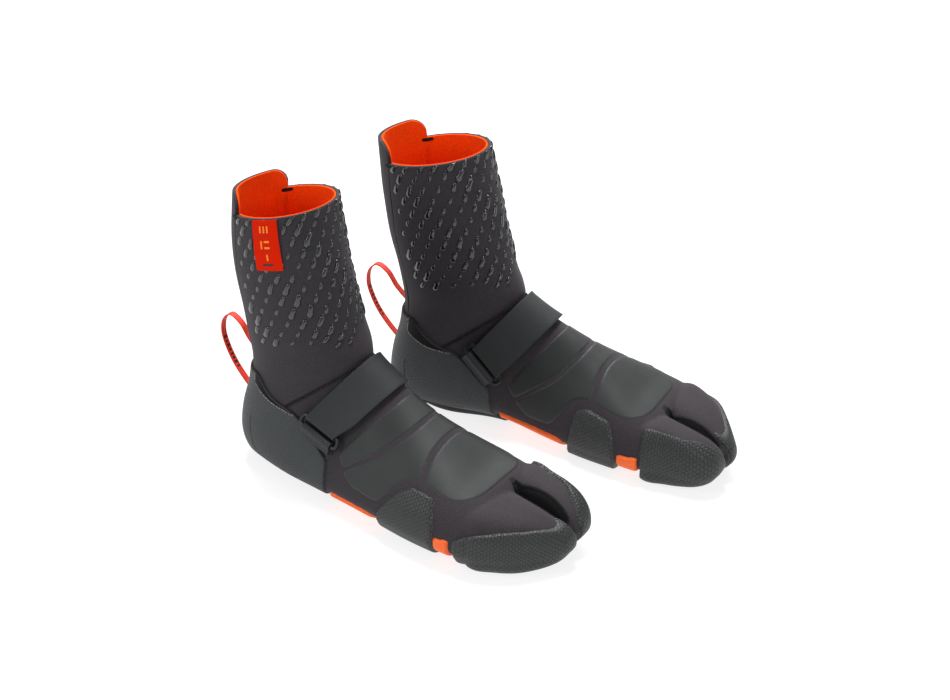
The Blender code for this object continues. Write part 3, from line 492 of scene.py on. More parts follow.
INSTEP_FRONT = side_outline(
    [(177.5, 51.5, 3), (173.8, 66, 8), (181, 100), (217, 100), (216, 47.5, 2), (203, 45.5, 6),
     (188, 48.5, 6)],
    [(174.5, 50, 3), (173.8, 66, 8), (181, 100), (217, 100), (216, 47.5, 2), (203, 45, 6),
     (188, 47, 6)])
MIDSOLE = side_outline(
    [(99.5, -8), (99.5, 15), (137, 15, 3), (143, 8, 3), (195.5, 8), (196.5, 22, 2),
     (208, 24), (208, -8)],
    [(99.5, -8), (99.5, 19), (152, 16, 3), (158, 8, 3), (199, 8), (200, 20, 2),
     (215, 22), (215, -8)])
HEEL_SOLE = side_outline(
    [(-20, -8), (-20, 8), (35, 6.5), (101, 7, 2), (101, -8)],
    [(-20, -8), (-20, 8), (35, 7.5), (101, 13, 2), (101, -8)])
FOREFOOT_SOLE = side_outline(
    [(141, -8), (148, 22, 3), (160, 39.5, 3), (170, 47, 3), (189.5, 45.5, 3), (195, 31, 3),
     (194, 12, 2), (195, -8)],
    [(157, -8), (161, 20, 3), (163, 41, 3), (171.5, 45, 3), (190.5, 41.5, 3), (195.5, 31, 3),
     (198, 12, 2), (198, -8)])
TOE_CAP_SIDE = side_outline(
    [(210, -8), (210, 25, 3), (224, 33, 4), (243, 36.5, 6), (257, 33.5, 6), (267, 28.5, 6),
     (295, 26), (295, -8)])
TOE_CAP_TOP = top_outline(
    [(205, 80), (205, -3.4), (250, -3.4), (264, -4.2), (295, -5.4), (295, 80)],
    [(205, 80), (205, 12), (250, 9), (262, 0), (295, -5.4), (295, 80)])
BIG_CAP_TOP = top_outline(
    [(217, -60), (217, -3.9), (250, -3.9), (264, -4.8), (295, -5.4), (295, -60)],
    [(217, -60), (217, -36), (245, -33), (264, -20), (295, -5.4), (295, -60)])


def line_distance(points, line):
    """Distance of points from a line of (s, z) places, seen from the side."""
    found = np.full(len(points), 1e6)
    for (ax, az), (bx, bz) in zip(line, line[1:]):
        dx, dz = bx - ax, bz - az
        share = np.clip(((points[:, 0] - ax) * dx + (points[:, 2] - az) * dz) / (dx * dx + dz * dz), 0, 1)
        away = np.hypot(points[:, 0] - ax - share * dx, points[:, 2] - az - share * dz)
        found = np.minimum(found, away)
    return found


def steps_between(low, high, start, stop):
    """A rule that gives `start` at height low and `stop` at height high, smoothly."""
    def rule(z):
        t = np.clip((z - low) / (high - low), 0, 1)
        return start + (stop - start) * t * t * (3 - 2 * t)
    return rule


class Foot:
    """The dense foot skin in boot millimetres, and what is laid on it."""

    def __init__(self):
        voxel = 1.15
        self.mesh = foot_form(3.2, 0.0, voxel, 4)
        open_slit(self.mesh)
        self.points, self.normals, self.faces = arrays(self.mesh)
        self.face_array = np.array([f for f in self.faces if len(f) == 4])
        self.tree = BVHTree.FromPolygons([Vector(p) for p in self.points], self.faces)

    def patch(self, inside, outer, rim, slit=None, sink=0.45, extras=None):
        """The skin inside an outline, lifted off the foot with a rounded rim.

        It is thinner on the walls beside a slit at m, and its edge sinks into the foot.
        """
        keep = inside > -1.6
        picked = self.face_array[keep[self.face_array].all(axis=1)]
        used, index = np.unique(picked, return_inverse=True)
        quads = index.reshape(picked.shape)
        points = self.points[used]
        normals = self.normals[used]
        depth = np.clip(inside[used] / rim, 0, 1)
        shape = np.sqrt(np.maximum(1 - (1 - depth) ** 2, 0))
        z = points[:, 2]
        top = outer(z) if callable(outer) else np.full(len(used), float(outer))
        if slit is not None:
            near = np.exp(-((points[:, 1] - slit) / 5.0) ** 2) * np.clip(np.abs(normals[:, 1]), 0, 1)
            top = top * (1 - 0.8 * near)
        lift = -sink + (top + sink) * shape
        points = points + normals * lift[:, None]
        points[:, 2] = np.maximum(points[:, 2], 0.0)
        mesh = mesh_from(points, quads, "patch")
        store(mesh, "rim", inside[used])
        for layer, values in (extras or {}).items():
            store(mesh, layer, values[used])
        mesh = applied(mesh, ("SUBSURF", {"levels": 1, "render_levels": 1}))
        return shaded(mesh)


# ================================================================ threads
def thread_tubes(spans, radius, bulge):
    """Short arched threads; each span is (start, end, up) and lies proud of the cloth by bulge."""
    points, faces = [], []
    rings, sides = 5, 6
    for start, stop, up in spans:
        start, stop, up = Vector(start), Vector(stop), Vector(up).normalized()
        flow = (stop - start).normalized()
        across = flow.cross(up).normalized()
        first = len(points)
        for r in range(rings):
            t = r / (rings - 1)
            rise = bulge * sin(pi * t)
            thick = radius * (0.55 + 0.45 * sin(pi * t))
            middle = start.lerp(stop, t) + up * rise
            for k in range(sides):
                turn = 2 * pi * k / sides
                points.append(middle + (across * cos(turn) + up * sin(turn)) * thick)
        faces += [tuple(f) for f in grid_quads(rings, sides, True) + first]
        faces.append(tuple(first + k for k in range(sides)))
        faces.append(tuple(first + (rings - 1) * sides + k for k in range(sides)))
    return tidy(mesh_from(points, faces, "thread"))


def stitched(line, normals, pitch, reach, width):
    """Spans of stitches on a line of points, one every pitch, reaching along and across it."""
    spans = []
    travelled = 0.0
    following = pitch / 2
    for a, b, up in zip(line, line[1:], normals):
        length = (b - a).length
        while length > 1e-6 and following <= travelled + length:
            place = a.lerp(b, (following - travelled) / length)
            flow = (b - a).normalized()
            half = flow * reach + flow.cross(up).normalized() * width / 2
            spans.append((place - half, place + half, up))
            following += pitch
        travelled += length
    return spans


def overlock(line, normals, width, pitch):
    """Slanted stitches that bind an edge."""
    return stitched(line, normals, pitch, 0.35 * pitch, width)


def running(line, normals, stitch, pitch):
    """Stitches in line."""
    return stitched(line, normals, pitch, stitch / 2, 0.0)


# ================================================================ strap, rings and loops
# The strap lies square to the instep: its edges are measured along STRAP_ACROSS, its axis and its
# ends, lateral (1) and medial (-1), along STRAP_UP.
STRAP_UP = Vector((0.6, 0.0, 0.8))
STRAP_ACROSS = Vector((0.8, 0.0, -0.6))
STRAP_EDGES = (21.0, 49.5)
STRAP_WIDTH = STRAP_EDGES[1] - STRAP_EDGES[0] - 1
STRAP_AXIS = 99.0
STRAP_ENDS = {1: (95.4, 107.2), -1: (103.6, 100.8)}
RING_ROD = 2.6
ROD_SQUARE = 10 / 3
RING_LENGTH = 37.0
RING_WIDTH = 10.5
RING_CORNER = 3.0
BAR_HEIGHT = 4.0
BAR_RADIUS = RING_ROD / 2 + 0.35
WEB_WIDTH = 27.0
WEB_TAIL = 4.0
WEB_FOOT = -BAR_HEIGHT + 0.9
STRAP_LIFT = 1.25
FLAP_LIFT = 3.1


class StrapPath:
    """Where the strap lies: column 0 to 1 across it, way -1 (medial) over 0 (top) to 1 (lateral)."""

    def __init__(self, foot):
        self.tree = foot.tree

    def on_foot(self, column, way):
        """The place on the foot under a point of the strap, and the direction away from it."""
        plane = STRAP_EDGES[0] + (STRAP_EDGES[1] - STRAP_EDGES[0]) * column
        side = 1 if way >= 0 else -1
        ends = STRAP_ENDS[side]
        end_height = ends[0] + (ends[1] - ends[0]) * column
        height = STRAP_AXIS + (end_height - STRAP_AXIS) * abs(way)
        origin = STRAP_ACROSS * plane + STRAP_UP * height
        angle = pi / 2 * (1 - abs(way))
        direction = Vector((0, side * cos(angle), 0)) + STRAP_UP * sin(angle)
        hit = self.tree.ray_cast(origin, direction)[0]
        return hit, direction

    def ring_frame(self, side):
        """Middle of the strap's end on the foot, with its long, up-the-foot and outward axes."""
        rear = self.on_foot(0.0, side)[0]
        front = self.on_foot(1.0, side)[0]
        above = self.on_foot(0.5, side * 0.85)[0]
        middle = (rear + front) / 2
        here = self.on_foot(0.5, side)[0]
        along = (front - rear).normalized()
        up = above - here
        up = (up - along * up.dot(along)).normalized()
        out = along.cross(up)
        if out.y * side < 0:
            out = -out
        bulge = max(0.0, (here - middle).dot(out))
        return middle + out * bulge, along, up, out


def bars(ring_frame):
    """Middles of the ring's two long bars: toward the strap, and toward the web loop."""
    middle, _, up, out = ring_frame
    front = middle + out * BAR_HEIGHT
    rear = front - up * (RING_WIDTH - RING_ROD)
    return front, rear


def band_rows(path, ways, lift, thick):
    """Rows of points for a band lying on the foot; lift gives its height for a way."""
    inner, outer = [], []
    for way in ways:
        hits = [path.on_foot(k / 12, way) for k in range(13)]
        inner.append([place + up * lift(way) for place, up in hits])
        outer.append([place + up * (lift(way) + thick) for place, up in hits])
    return inner, outer


def fold_rows(ring_frame, bar, start, stop, width, columns=13):
    """Rows of points where a band goes round a ring's bar, by angle from outward."""
    along, up, out = ring_frame[1:]
    places = [bar + along * width * (k / (columns - 1) - 0.5) for k in range(columns)]
    inner, outer = [], []
    steps = 16
    for i in range(steps + 1):
        angle = radians(start + (stop - start) * i / steps)
        direction = out * cos(angle) - up * sin(angle)
        inner.append([place + direction * BAR_RADIUS for place in places])
        outer.append([place + direction * (BAR_RADIUS + WEBBING) for place in places])
    return inner, outer


def ribbon(inner, outer, soft=0.45):
    """A webbing mesh from rows of points, with its edges rounded and its cloth mapped."""
    inner = np.array([[tuple(p) for p in row] for row in inner])
    outer = np.array([[tuple(p) for p in row] for row in outer])
    middle = (inner + outer) / 2
    along = np.cumsum(np.r_[0, np.linalg.norm(np.diff(middle[:, middle.shape[1] // 2], axis=0), axis=1)])
    across = np.cumsum(np.r_[0, np.linalg.norm(np.diff(middle[0], axis=0), axis=1)])
    grid = np.zeros(inner.shape)
    grid[:, :, 0] = along[:, None]
    grid[:, :, 1] = across[None, :] - across[-1] / 2
    points, faces = sheet_mesh(inner, outer)
    mesh = mesh_from(points, faces, "ribbon")
    store(mesh, "cloth", np.concatenate([grid.reshape(-1, 3)] * 2))
    mesh = applied(mesh, ("BEVEL", {"width": soft, "segments": 2, "limit_method": "ANGLE",
                                    "angle_limit": radians(50)}))
    return tidy(mesh)


def smooth_rows(rows, times):
    """Rows of points evened out along the band, ends kept."""
    grid = np.array([[tuple(p) for p in row] for row in rows])
    for _ in range(times):
        grid[1:-1] = grid[1:-1] * 0.5 + (grid[:-2] + grid[2:]) * 0.25
    return grid


def strap_base(path, near):
    """The strap from its sewn loop round the far ring to the near ring."""
    far = -near
    far_frame = path.ring_frame(far)
    fold_in, fold_out = fold_rows(far_frame, bars(far_frame)[0], 180, 20, STRAP_WIDTH)
    lead = far_frame[2] * 2.2
    turned_in = fold_out[::-1] + [[p + lead for p in fold_out[0]]]
    turned_out = fold_in[::-1] + [[p + lead for p in fold_in[0]]]
    ways = [far * 0.7 + (near * 0.8 - far * 0.7) * i / 60 for i in range(61)]
    inner, outer = band_rows(path, ways, lambda way: STRAP_LIFT, WEBBING)
    inner = smooth_rows(turned_in + inner, 3)
    outer = smooth_rows(turned_out + outer, 3)
    return ribbon(inner, outer)


def strap_flap(path, near):
    """The folded-back part: round the near ring's bar, then over the strap past the top."""
    ring_frame = path.ring_frame(near)
    fold_in, fold_out = fold_rows(ring_frame, bars(ring_frame)[0], 150, 0, STRAP_WIDTH)
    ways = [near * (0.7 - 1.0 * i / 50) for i in range(51)]

    def lift(way):
        turned = way * near
        return FLAP_LIFT + 0.8 * max(0.0, (turned - 0.5) / 0.2) + 1.3 * max(0.0, -turned / 0.3)

    inner, outer = band_rows(path, ways, lift, WEBBING)
    inner = smooth_rows(fold_in + inner, 3)
    outer = smooth_rows(fold_out + outer, 3)
    return ribbon(inner, outer)


def web_loop(ring_frame):
    """Webbing folded round the ring's rear bar, its two ends sewn together on the foot."""
    along, up, out = ring_frame[1:]
    rear = bars(ring_frame)[1]
    reach = BAR_RADIUS + WEBBING / 2
    centre = []
    for k in range(25):
        turn = radians(-150 + 300 * k / 24)
        centre.append((cos(turn) * reach, sin(turn) * reach))
    low = WEB_FOOT + WEBBING / 2
    start = centre[0]
    stop = centre[-1]
    tail = -BAR_RADIUS - WEBBING - WEB_TAIL
    lead_in = [(tail + (start[0] - tail) * t, low + (start[1] - low) * t * t) for t in (0, 0.3, 0.6, 0.85)]
    rise = low + WEBBING + 0.15
    lead_out = [(tail + (stop[0] - tail) * t, rise + (stop[1] - rise) * t * t) for t in (0.85, 0.6, 0.3, 0)]
    centre = lead_in + centre + lead_out
    inner, outer = [], []
    for i, (x, y) in enumerate(centre):
        before = Vector(centre[max(i - 1, 0)])
        after = Vector(centre[min(i + 1, len(centre) - 1)])
        flow = (after - before).normalized()
        normal = up * flow.y - out * flow.x
        place = rear + up * x + out * y
        columns = [place + along * WEB_WIDTH * (k / 8 - 0.5) for k in range(9)]
        inner.append([p - normal * WEBBING / 2 for p in columns])
        outer.append([p + normal * WEBBING / 2 for p in columns])
    return ribbon(inner, outer, 0.35)


def ring(ring_frame):
    """A rounded rectangular plastic ring with flattened bars."""
    along, up, out = ring_frame[1:]
    front, rear = bars(ring_frame)
    centre = (front + rear) / 2
    half_long = (RING_LENGTH - RING_ROD) / 2
    half_wide = (RING_WIDTH - RING_ROD) / 2
    line = []
    for x, y, start in ((1, 1, 0), (-1, 1, 90), (-1, -1, 180), (1, -1, 270)):
        for k in range(9):
            angle = radians(start + 90 * k / 8)
            line.append(((half_long - RING_CORNER) * x + RING_CORNER * cos(angle),
                         (half_wide - RING_CORNER) * y + RING_CORNER * sin(angle)))
    points = []
    count = len(line)
    sides = 16
    for i, (x, y) in enumerate(line):
        flow = (Vector(line[(i + 1) % count]) - Vector(line[i - 1])).normalized()
        side = along * flow.y - up * flow.x
        place = centre + along * x + up * y
        for k in range(sides):
            turn = 2 * pi * k / sides
            across = power(cos(turn), ROD_SQUARE)
            high = power(sin(turn), ROD_SQUARE)
            points.append(place + (side * across + out * high) * RING_ROD / 2)
    faces = [tuple(f) for f in grid_quads(count, sides, True)]
    last = (count - 1) * sides
    faces += [(last + k, last + (k + 1) % sides, (k + 1) % sides, k) for k in range(sides)]
    return tidy(mesh_from(points, faces, "ring"))


# ================================================================ the shaft
def panel_mesh(low, high, inner, outer, with_tab, columns):
    """A panel of the shaft between two seam rules (degrees for a height u), with its cut edges."""
    heights = [(0.0, share) for share in np.linspace(1, 0.06, 14)] if with_tab else []
    heights += [(u, 0.0) for u in np.linspace(0, SEAM - 0.02, 100)]
    u = np.repeat([row[0] for row in heights], columns)
    share = np.repeat([row[1] for row in heights], columns)
    part = np.tile(np.linspace(0, 1, columns), len(heights))
    angle = low(u) + (high(u) - low(u)) * part
    rise = share * tab_top(angle / SEAM_ANGLE_TOP) if with_tab else np.zeros_like(u)
    grids = [shaft(angle, u, offset, rise).reshape(len(heights), columns, 3) for offset in (inner, outer)]
    points, faces = sheet_mesh(*grids)
    mesh = mesh_from(points, faces, "panel")
    store(mesh, "rim", np.tile(u * STATION_HEIGHT, 2))
    mesh = applied(mesh, ("BEVEL", {"width": 0.5, "segments": 2, "limit_method": "ANGLE",
                                    "angle_limit": radians(50)}))
    return tidy(mesh)


HALF_SEAM = 0.3


def back_panel(inner, outer, gap=HALF_SEAM):
    """The back of the shaft, with its tab, between two offsets from the neoprene's face."""
    return panel_mesh(lambda u: -seam_angle(u) + gap, lambda u: seam_angle(u) - gap, inner, outer, True, 60)


def front_panel(inner, outer, gap=HALF_SEAM):
    """The front of the shaft, between two offsets from the neoprene's face."""
    return panel_mesh(lambda u: seam_angle(u) + gap, lambda u: 360 - seam_angle(u) - gap,
                      inner, outer, False, 130)


# The printed drops lie on a staggered lattice (turn and depth, mm); whole slanting rows are larger.
DROP_STEP = 10.6
DROP_ROW = (5.5, 8.0)
DROP_SIZES = (0.9, 0.15, 0.15, 0.6, 0.75, 0.35, 0.2, 0.55)
# share of the drop's outline and of its height, from its top down to below the cloth
DROP_LEVELS = ((0.0, 1.0), (0.45, 0.93), (0.72, 0.74), (0.9, 0.45), (1.0, 0.0), (1.04, -0.3))
DROP_LEAN = 0.45
# The print reaches this far below the collar, and starts this far round from the back line.
PRINT_DEPTH = 97.0
PRINT_EDGE = SHAFT_RADIUS * radians(SEAM_ANGLE_TOP) + 3.0


def drop_places():
    """(turn from the back line, depth below the collar, size, lean) of the printed drops."""
    rng = np.random.default_rng(7)
    last = SHAFT_RADIUS * 2 * pi - PRINT_EDGE
    made = []
    for i in range(-14, 24):
        for j in range(13):
            x = PRINT_EDGE + 2.0 + i * DROP_STEP + j * DROP_ROW[0] + rng.uniform(-0.8, 0.8)
            y = 3.5 + j * DROP_ROW[1] + rng.uniform(-0.7, 0.7)
            size = DROP_SIZES[(i + 4) % len(DROP_SIZES)] * rng.uniform(0.82, 1.15)
            if j == 0:
                size = max(size, rng.uniform(0.5, 0.9))
            low_edge = PRINT_DEPTH + 4 * sin(x / 14) - 7 * (x > PRINT_EDGE + 70)
            if PRINT_EDGE < x < last and y < low_edge:
                made.append((x, y, max(0.2, size), DROP_LEAN + rng.uniform(-0.12, 0.12)))
    return made


def drops_mesh(side):
    """Raised drips of rubber print, in mm; the large ones are long, with a neck between two swellings."""
    points_x, points_y, points_h, faces = [], [], [], []
    around = 18
    for x, y, size, lean in drop_places():
        length = 1.9 + 4.0 * size
        width = 1.1 + 1.5 * size
        height = 0.6 + 0.8 * size
        first = len(points_x)
        for reach, rise in DROP_LEVELS:
            for k in range(around):
                turn = 2 * pi * k / around
                down = cos(turn) * length * reach
                neck = 1 - 0.42 * size * exp(-(down / (0.30 * length)) ** 2)
                swell = 1 + 0.22 * down / length
                wide = sin(turn) * width * reach * neck * swell
                points_x.append(x + wide * cos(lean) - down * sin(lean))
                points_y.append(y + down * cos(lean) + wide * sin(lean))
                points_h.append(height * rise)
        faces += [tuple(f) for f in grid_quads(len(DROP_LEVELS), around, True) + first]
    turn = np.degrees(np.array(points_x) / SHAFT_RADIUS)
    angle = turn if side > 0 else 360 - turn
    u = np.clip(np.array(points_y) / STATION_HEIGHT, 0.02, 6)
    heights = np.array(points_h)
    edge = seam_angle(u) + 1.0
    angle = np.clip(angle, edge, 360 - edge)
    angle_radians = np.radians(angle)
    normal = outward(body, u, angle_radians, END)
    points = body(u, angle_radians) + normal * (heights + ripple(u, angle_radians))[:, None]
    return tidy(mesh_from(points, faces, "drops"))


def shaft_line(angle, u, offset):
    """Points on the shaft, angles in degrees, and the normals that point away from the cloth."""
    points = shaft(angle, u, offset)
    normals = outward(body, u, np.radians(angle), END) * (1 if offset > 0 else -1)
    return [Vector(p) for p in points], [Vector(n) for n in normals]


# ================================================================ small trim
TAPE_PATH = np.array([(-2.4, 44), (-10, 51.5), (-17.5, 60.5), (-23.5, 71), (-27.3, 82.5),
                      (-26, 93.5), (-19, 100), (-10, 95.5), (-3, 86), (5, 78.5)], dtype=float)
TAPE_WIDTH = 5.0
TAPE_THICKNESS = 1.0
LABEL_ANGLES = (89.0, 116.0)
LABEL_LENGTH = 37.0


def tape_frames(steps):
    """Places along the pull loop, sewn ends included, with the direction that points out of it."""
    path = np.vstack([(1.2, 41.0), TAPE_PATH, (8.0, 76.5)])
    line = between(path, np.linspace(0, len(path) - 1, steps))
    places = [Vector((p[0], 0, p[1])) for p in line]
    frames = []
    for i, place in enumerate(places):
        flow = (places[min(i + 1, steps - 1)] - places[max(i - 1, 0)]).normalized()
        frames.append((place, Vector((-flow.z, 0, flow.x))))
    return frames


def tape_loop():
    """The pull loop: tape bent back and up from the heel cup to the shaft."""
    inner, outer = [], []
    for place, side in tape_frames(90):
        columns = [place + Vector((0, TAPE_WIDTH * (k / 6 - 0.5), 0)) for k in range(7)]
        inner.append([p + side * TAPE_THICKNESS / 2 for p in columns])
        outer.append([p - side * TAPE_THICKNESS / 2 for p in columns])
    return ribbon(inner, outer, 0.2)


def tape_marks(first, last, pieces):
    """A row of small black bars woven into the loop's outer face, generic marks only."""
    steps = 240
    frames = tape_frames(steps)
    points, faces = [], []
    for k in range(pieces):
        start = int(steps * (first + (last - first) * k / pieces))
        stop = start + int(steps * (last - first) / pieces * (0.75 if k % 3 else 0.5))
        half = 1.5 if k % 2 else 1.1
        base = len(points)
        for i in range(start, stop + 1):
            place, side = frames[i]
            for face in (1, -1):
                lift = side * face * (TAPE_THICKNESS / 2 + 0.06)
                points.append(place + lift + Vector((0, -half, 0)))
                points.append(place + lift + Vector((0, half, 0)))
        for r in range(stop - start):
            for face in (0, 2):
                a = base + r * 4 + face
                faces.append((a, a + 1, a + 5, a + 4))
    return shaded(mesh_from(points, faces, "marks"))


def label_points(across, down, lift):
    """Places on the label: across 0 to 1, down 0 to 1 from the collar."""
    across, down = np.asarray(across, float), np.asarray(down, float)
    u = 0.02 + down * LABEL_LENGTH / STATION_HEIGHT
    angle = np.radians(LABEL_ANGLES[0] + (LABEL_ANGLES[1] - LABEL_ANGLES[0]) * across)
    normal = outward(body, u, angle, END)
    wave = 0.35 * np.sin(3.2 * down + 2 * across) * down
    return body(u, angle) + normal * (lift + 0.4 + wave)[:, None]


def label_mesh():
    """The collar label, a flat woven tape."""
    rows, columns = 50, 30
    across = np.tile(np.linspace(0, 1, columns), rows)
    down = np.repeat(np.linspace(0, 1, rows), columns)
    sheets = []
    for lift in (0.35, 1.05):
        places = label_points(across, down, np.full_like(down, lift))
        sheets.append(places.reshape(rows, columns, 3))
    return ribbon(*sheets, 0.15)


# generic bars and dots: across from, across to, down from, down to
LABEL_BARS = [
    (0.30, 0.36, 0.16, 0.30), (0.44, 0.50, 0.16, 0.30), (0.58, 0.64, 0.16, 0.30),
    (0.30, 0.36, 0.44, 0.58), (0.44, 0.64, 0.44, 0.475), (0.44, 0.64, 0.545, 0.58),
    (0.47, 0.53, 0.68, 0.80),
]
LABEL_DARK_BARS = [
    (0.26, 0.31, 0.355, 0.375), (0.37, 0.42, 0.355, 0.375), (0.48, 0.53, 0.355, 0.375),
    (0.59, 0.64, 0.355, 0.375), (0.34, 0.38, 0.62, 0.64), (0.48, 0.52, 0.62, 0.64),
    (0.62, 0.66, 0.62, 0.64), (0.28, 0.68, 0.86, 0.905),
]


def label_marks(bars_list):
    """Flat printed bars a hair above the label."""
    points, faces = [], []
    for left, right, top, bottom in bars_list:
        columns, rows = 6, 6
        across, down = np.meshgrid(np.linspace(left, right, columns), np.linspace(top, bottom, rows))
        base = sum(len(p) for p in points)
        points.append(label_points(across.ravel(), down.ravel(), np.full(columns * rows, 1.12)))
        faces += [tuple(i + base for i in f) for f in grid_quads(rows, columns)]
    return shaded(mesh_from(np.concatenate(points), faces, "marks"))


INSOLE_ENDS = (16.0, 205.0)
INSOLE_HALF = (18.5, 33.5)
INSOLE_THICK = 2.8


def insole_mesh(lining_tree):
    """Thin foam sheet on the bottom of the foot lining, wider toward the toes, with round ends."""
    sheets = [[], []]
    rows, columns = 60, 17
    middle = sum(INSOLE_ENDS) / 2
    for s in np.linspace(*INSOLE_ENDS, rows):
        wide = INSOLE_HALF[0] + (INSOLE_HALF[1] - INSOLE_HALF[0]) * min(1.0, max(0.0, (s - 60) / 120))
        end = min(1.0, sqrt(max(0.0, 1 - ((s - middle) / 103) ** 2)) * 1.6)
        centre = 2 + 6 * min(1.0, max(0.0, (s - 40) / 120))
        lines = [[], []]
        for part in np.linspace(-1, 1, columns):
            above = Vector((s, centre + wide * end * part, 26))
            hit = lining_tree.ray_cast(above, Vector((0, 0, -1)))[0]
            for line, rise in zip(lines, (GAP, GAP + INSOLE_THICK)):
                line.append(hit + Vector((0, 0, rise)))
        sheets[0].append(lines[0])
        sheets[1].append(lines[1])
    return ribbon(*sheets, 0.6)


# ================================================================ materials
class Paint:
    """Builds one node material step by step."""

    def __init__(self, name, colour, roughness, specular=0.4):
        self.material = bpy.data.materials.new(name)
        self.material.use_nodes = True
        self.tree = self.material.node_tree
        self.shader = self.tree.nodes["Principled BSDF"]
        self.shader.inputs["Base Color"].default_value = (*colour, 1)
        self.shader.inputs["Roughness"].default_value = roughness
        self.shader.inputs["Specular IOR Level"].default_value = specular
        self.material.diffuse_color = (*colour, 1)
        self.height = None

    def node(self, kind, inputs=None, **settings):
        """A new node; its inputs are given as values or as sockets to link."""
        made = self.tree.nodes.new(kind)
        for setting, value in settings.items():
            setattr(made, setting, value)
        for name, value in (inputs or {}).items():
            if isinstance(value, bpy.types.NodeSocket):
                self.tree.links.new(value, made.inputs[name])
            else:
                made.inputs[name].default_value = value
        return made

    def place(self):
        """The place on the object, in metres."""
        return self.node("ShaderNodeTexCoord").outputs["Object"]

    def stored(self, name, vector=False):
        """A value kept on the mesh."""
        return self.node("ShaderNodeAttribute", attribute_name=name).outputs["Vector" if vector else "Fac"]

    def noise(self, where, scale, detail=3.0, roughness=0.55):
        """A noise value; scale is the number of features in a metre."""
        made = self.node("ShaderNodeTexNoise", {"Vector": where, "Scale": scale, "Detail": detail,
                                                "Roughness": roughness})
        return made.outputs["Fac"]

    def maths(self, operation, first, second=0.0, third=0.0):
        """The result of one sum."""
        return self.node("ShaderNodeMath", {0: first, 1: second, 2: third}, operation=operation).outputs[0]

    def ramp(self, value, low, high, start=0.0, stop=1.0):
        """A value that eases from start to stop as another goes from low to high."""
        inputs = {"Value": value, "From Min": low, "From Max": high, "To Min": start, "To Max": stop}
        made = self.node("ShaderNodeMapRange", inputs, interpolation_type="SMOOTHSTEP")
        return made.outputs["Result"]

    def mix(self, share, first, second):
        """A colour between two others."""
        inputs = {"Factor": share, "A": first, "B": second}
        for name, value in inputs.items():
            if isinstance(value, tuple):
                inputs[name] = (*value, 1)
        return self.node("ShaderNodeMix", inputs, data_type="RGBA").outputs["Result"]

    def colour(self, socket):
        """Sets the base colour."""
        self.tree.links.new(socket, self.shader.inputs["Base Color"])

    def rough(self, socket):
        """Sets the roughness."""
        self.tree.links.new(socket, self.shader.inputs["Roughness"])

    def bump(self, height, distance, strength=1.0):
        """Adds relief of a real height in metres on top of what is there."""
        inputs = {"Height": height, "Distance": distance, "Strength": strength}
        if self.height is not None:
            inputs["Normal"] = self.height
        self.height = self.node("ShaderNodeBump", inputs).outputs["Normal"]
        self.tree.links.new(self.height, self.shader.inputs["Normal"])

    def sheen(self, weight, colour, roughness=0.4):
        """Adds the soft glow of fine fibres."""
        self.shader.inputs["Sheen Weight"].default_value = weight
        self.shader.inputs["Sheen Roughness"].default_value = roughness
        self.shader.inputs["Sheen Tint"].default_value = (*colour, 1)


def neoprene():
    """Jersey-faced neoprene: fine knit grain, faint colour specks."""
    paint = Paint("neoprene_jersey", (0.028, 0.023, 0.027), 0.80, 0.3)
    where = paint.place()
    grain = paint.noise(where, 1400.0, 2.0, 0.6)
    soft = paint.noise(where, 60.0, 3.0)
    speck = paint.ramp(grain, 0.35, 0.68)
    tint = paint.mix(speck, (0.019, 0.0155, 0.0195), (0.037, 0.030, 0.036))
    tint = paint.mix(paint.ramp(soft, 0.3, 0.7, 0.0, 0.35), tint, (0.024, 0.020, 0.024))
    paint.colour(paint.mix(paint.stored("binding"), tint, (0.004, 0.004, 0.005)))
    paint.bump(soft, 0.0006, 0.35)
    paint.bump(grain, 0.00022, 0.7)
    paint.sheen(0.10, (0.75, 0.72, 0.80), 0.5)
    return paint.material


def plush():
    """Deep orange-red fleece lining."""
    paint = Paint("plush_lining", (0.95, 0.065, 0.006), 0.95, 0.1)
    where = paint.place()
    pile = paint.noise(where, 900.0, 3.0, 0.7)
    patch = paint.noise(where, 55.0, 2.0)
    tint = paint.mix(paint.ramp(pile, 0.3, 0.7), (0.92, 0.050, 0.001), (1.0, 0.110, 0.002))
    paint.colour(paint.mix(paint.ramp(patch, 0.35, 0.7, 0.0, 0.45), tint, (0.98, 0.075, 0.008)))
    paint.bump(pile, 0.0006, 0.8)
    paint.bump(patch, 0.0010, 0.3)
    paint.sheen(0.30, (1.0, 0.35, 0.08), 0.45)
    return paint.material


def drop_print():
    """Glossy raised drips of dark rubber print."""
    paint = Paint("drop_print", (0.006, 0.007, 0.008), 0.13, 0.8)
    where = paint.place()
    mottled = paint.noise(where, 300.0, 2.0)
    paint.colour(paint.mix(mottled, (0.004, 0.005, 0.006), (0.009, 0.011, 0.012)))
    paint.bump(paint.noise(where, 700.0, 2.0), 0.00015, 0.5)
    return paint.material


def instep_print():
    """Smooth matt rubber print over the instep, a fine grain in it."""
    paint = Paint("instep_print", (0.018, 0.021, 0.022), 0.55, 0.4)
    where = paint.place()
    grain = paint.noise(where, 1500.0, 2.0)
    cloud = paint.noise(where, 22.0, 3.0)
    tint = paint.mix(paint.ramp(cloud, 0.3, 0.7), (0.0115, 0.0135, 0.014), (0.017, 0.0195, 0.020))
    edge = paint.ramp(paint.stored("rim"), 0.0, 0.9, 0.0, 1.0)
    paint.colour(paint.mix(edge, (0.034, 0.031, 0.034), tint))
    paint.rough(paint.ramp(grain, 0.2, 0.8, 0.50, 0.64))
    paint.bump(grain, 0.00012, 0.6)
    return paint.material


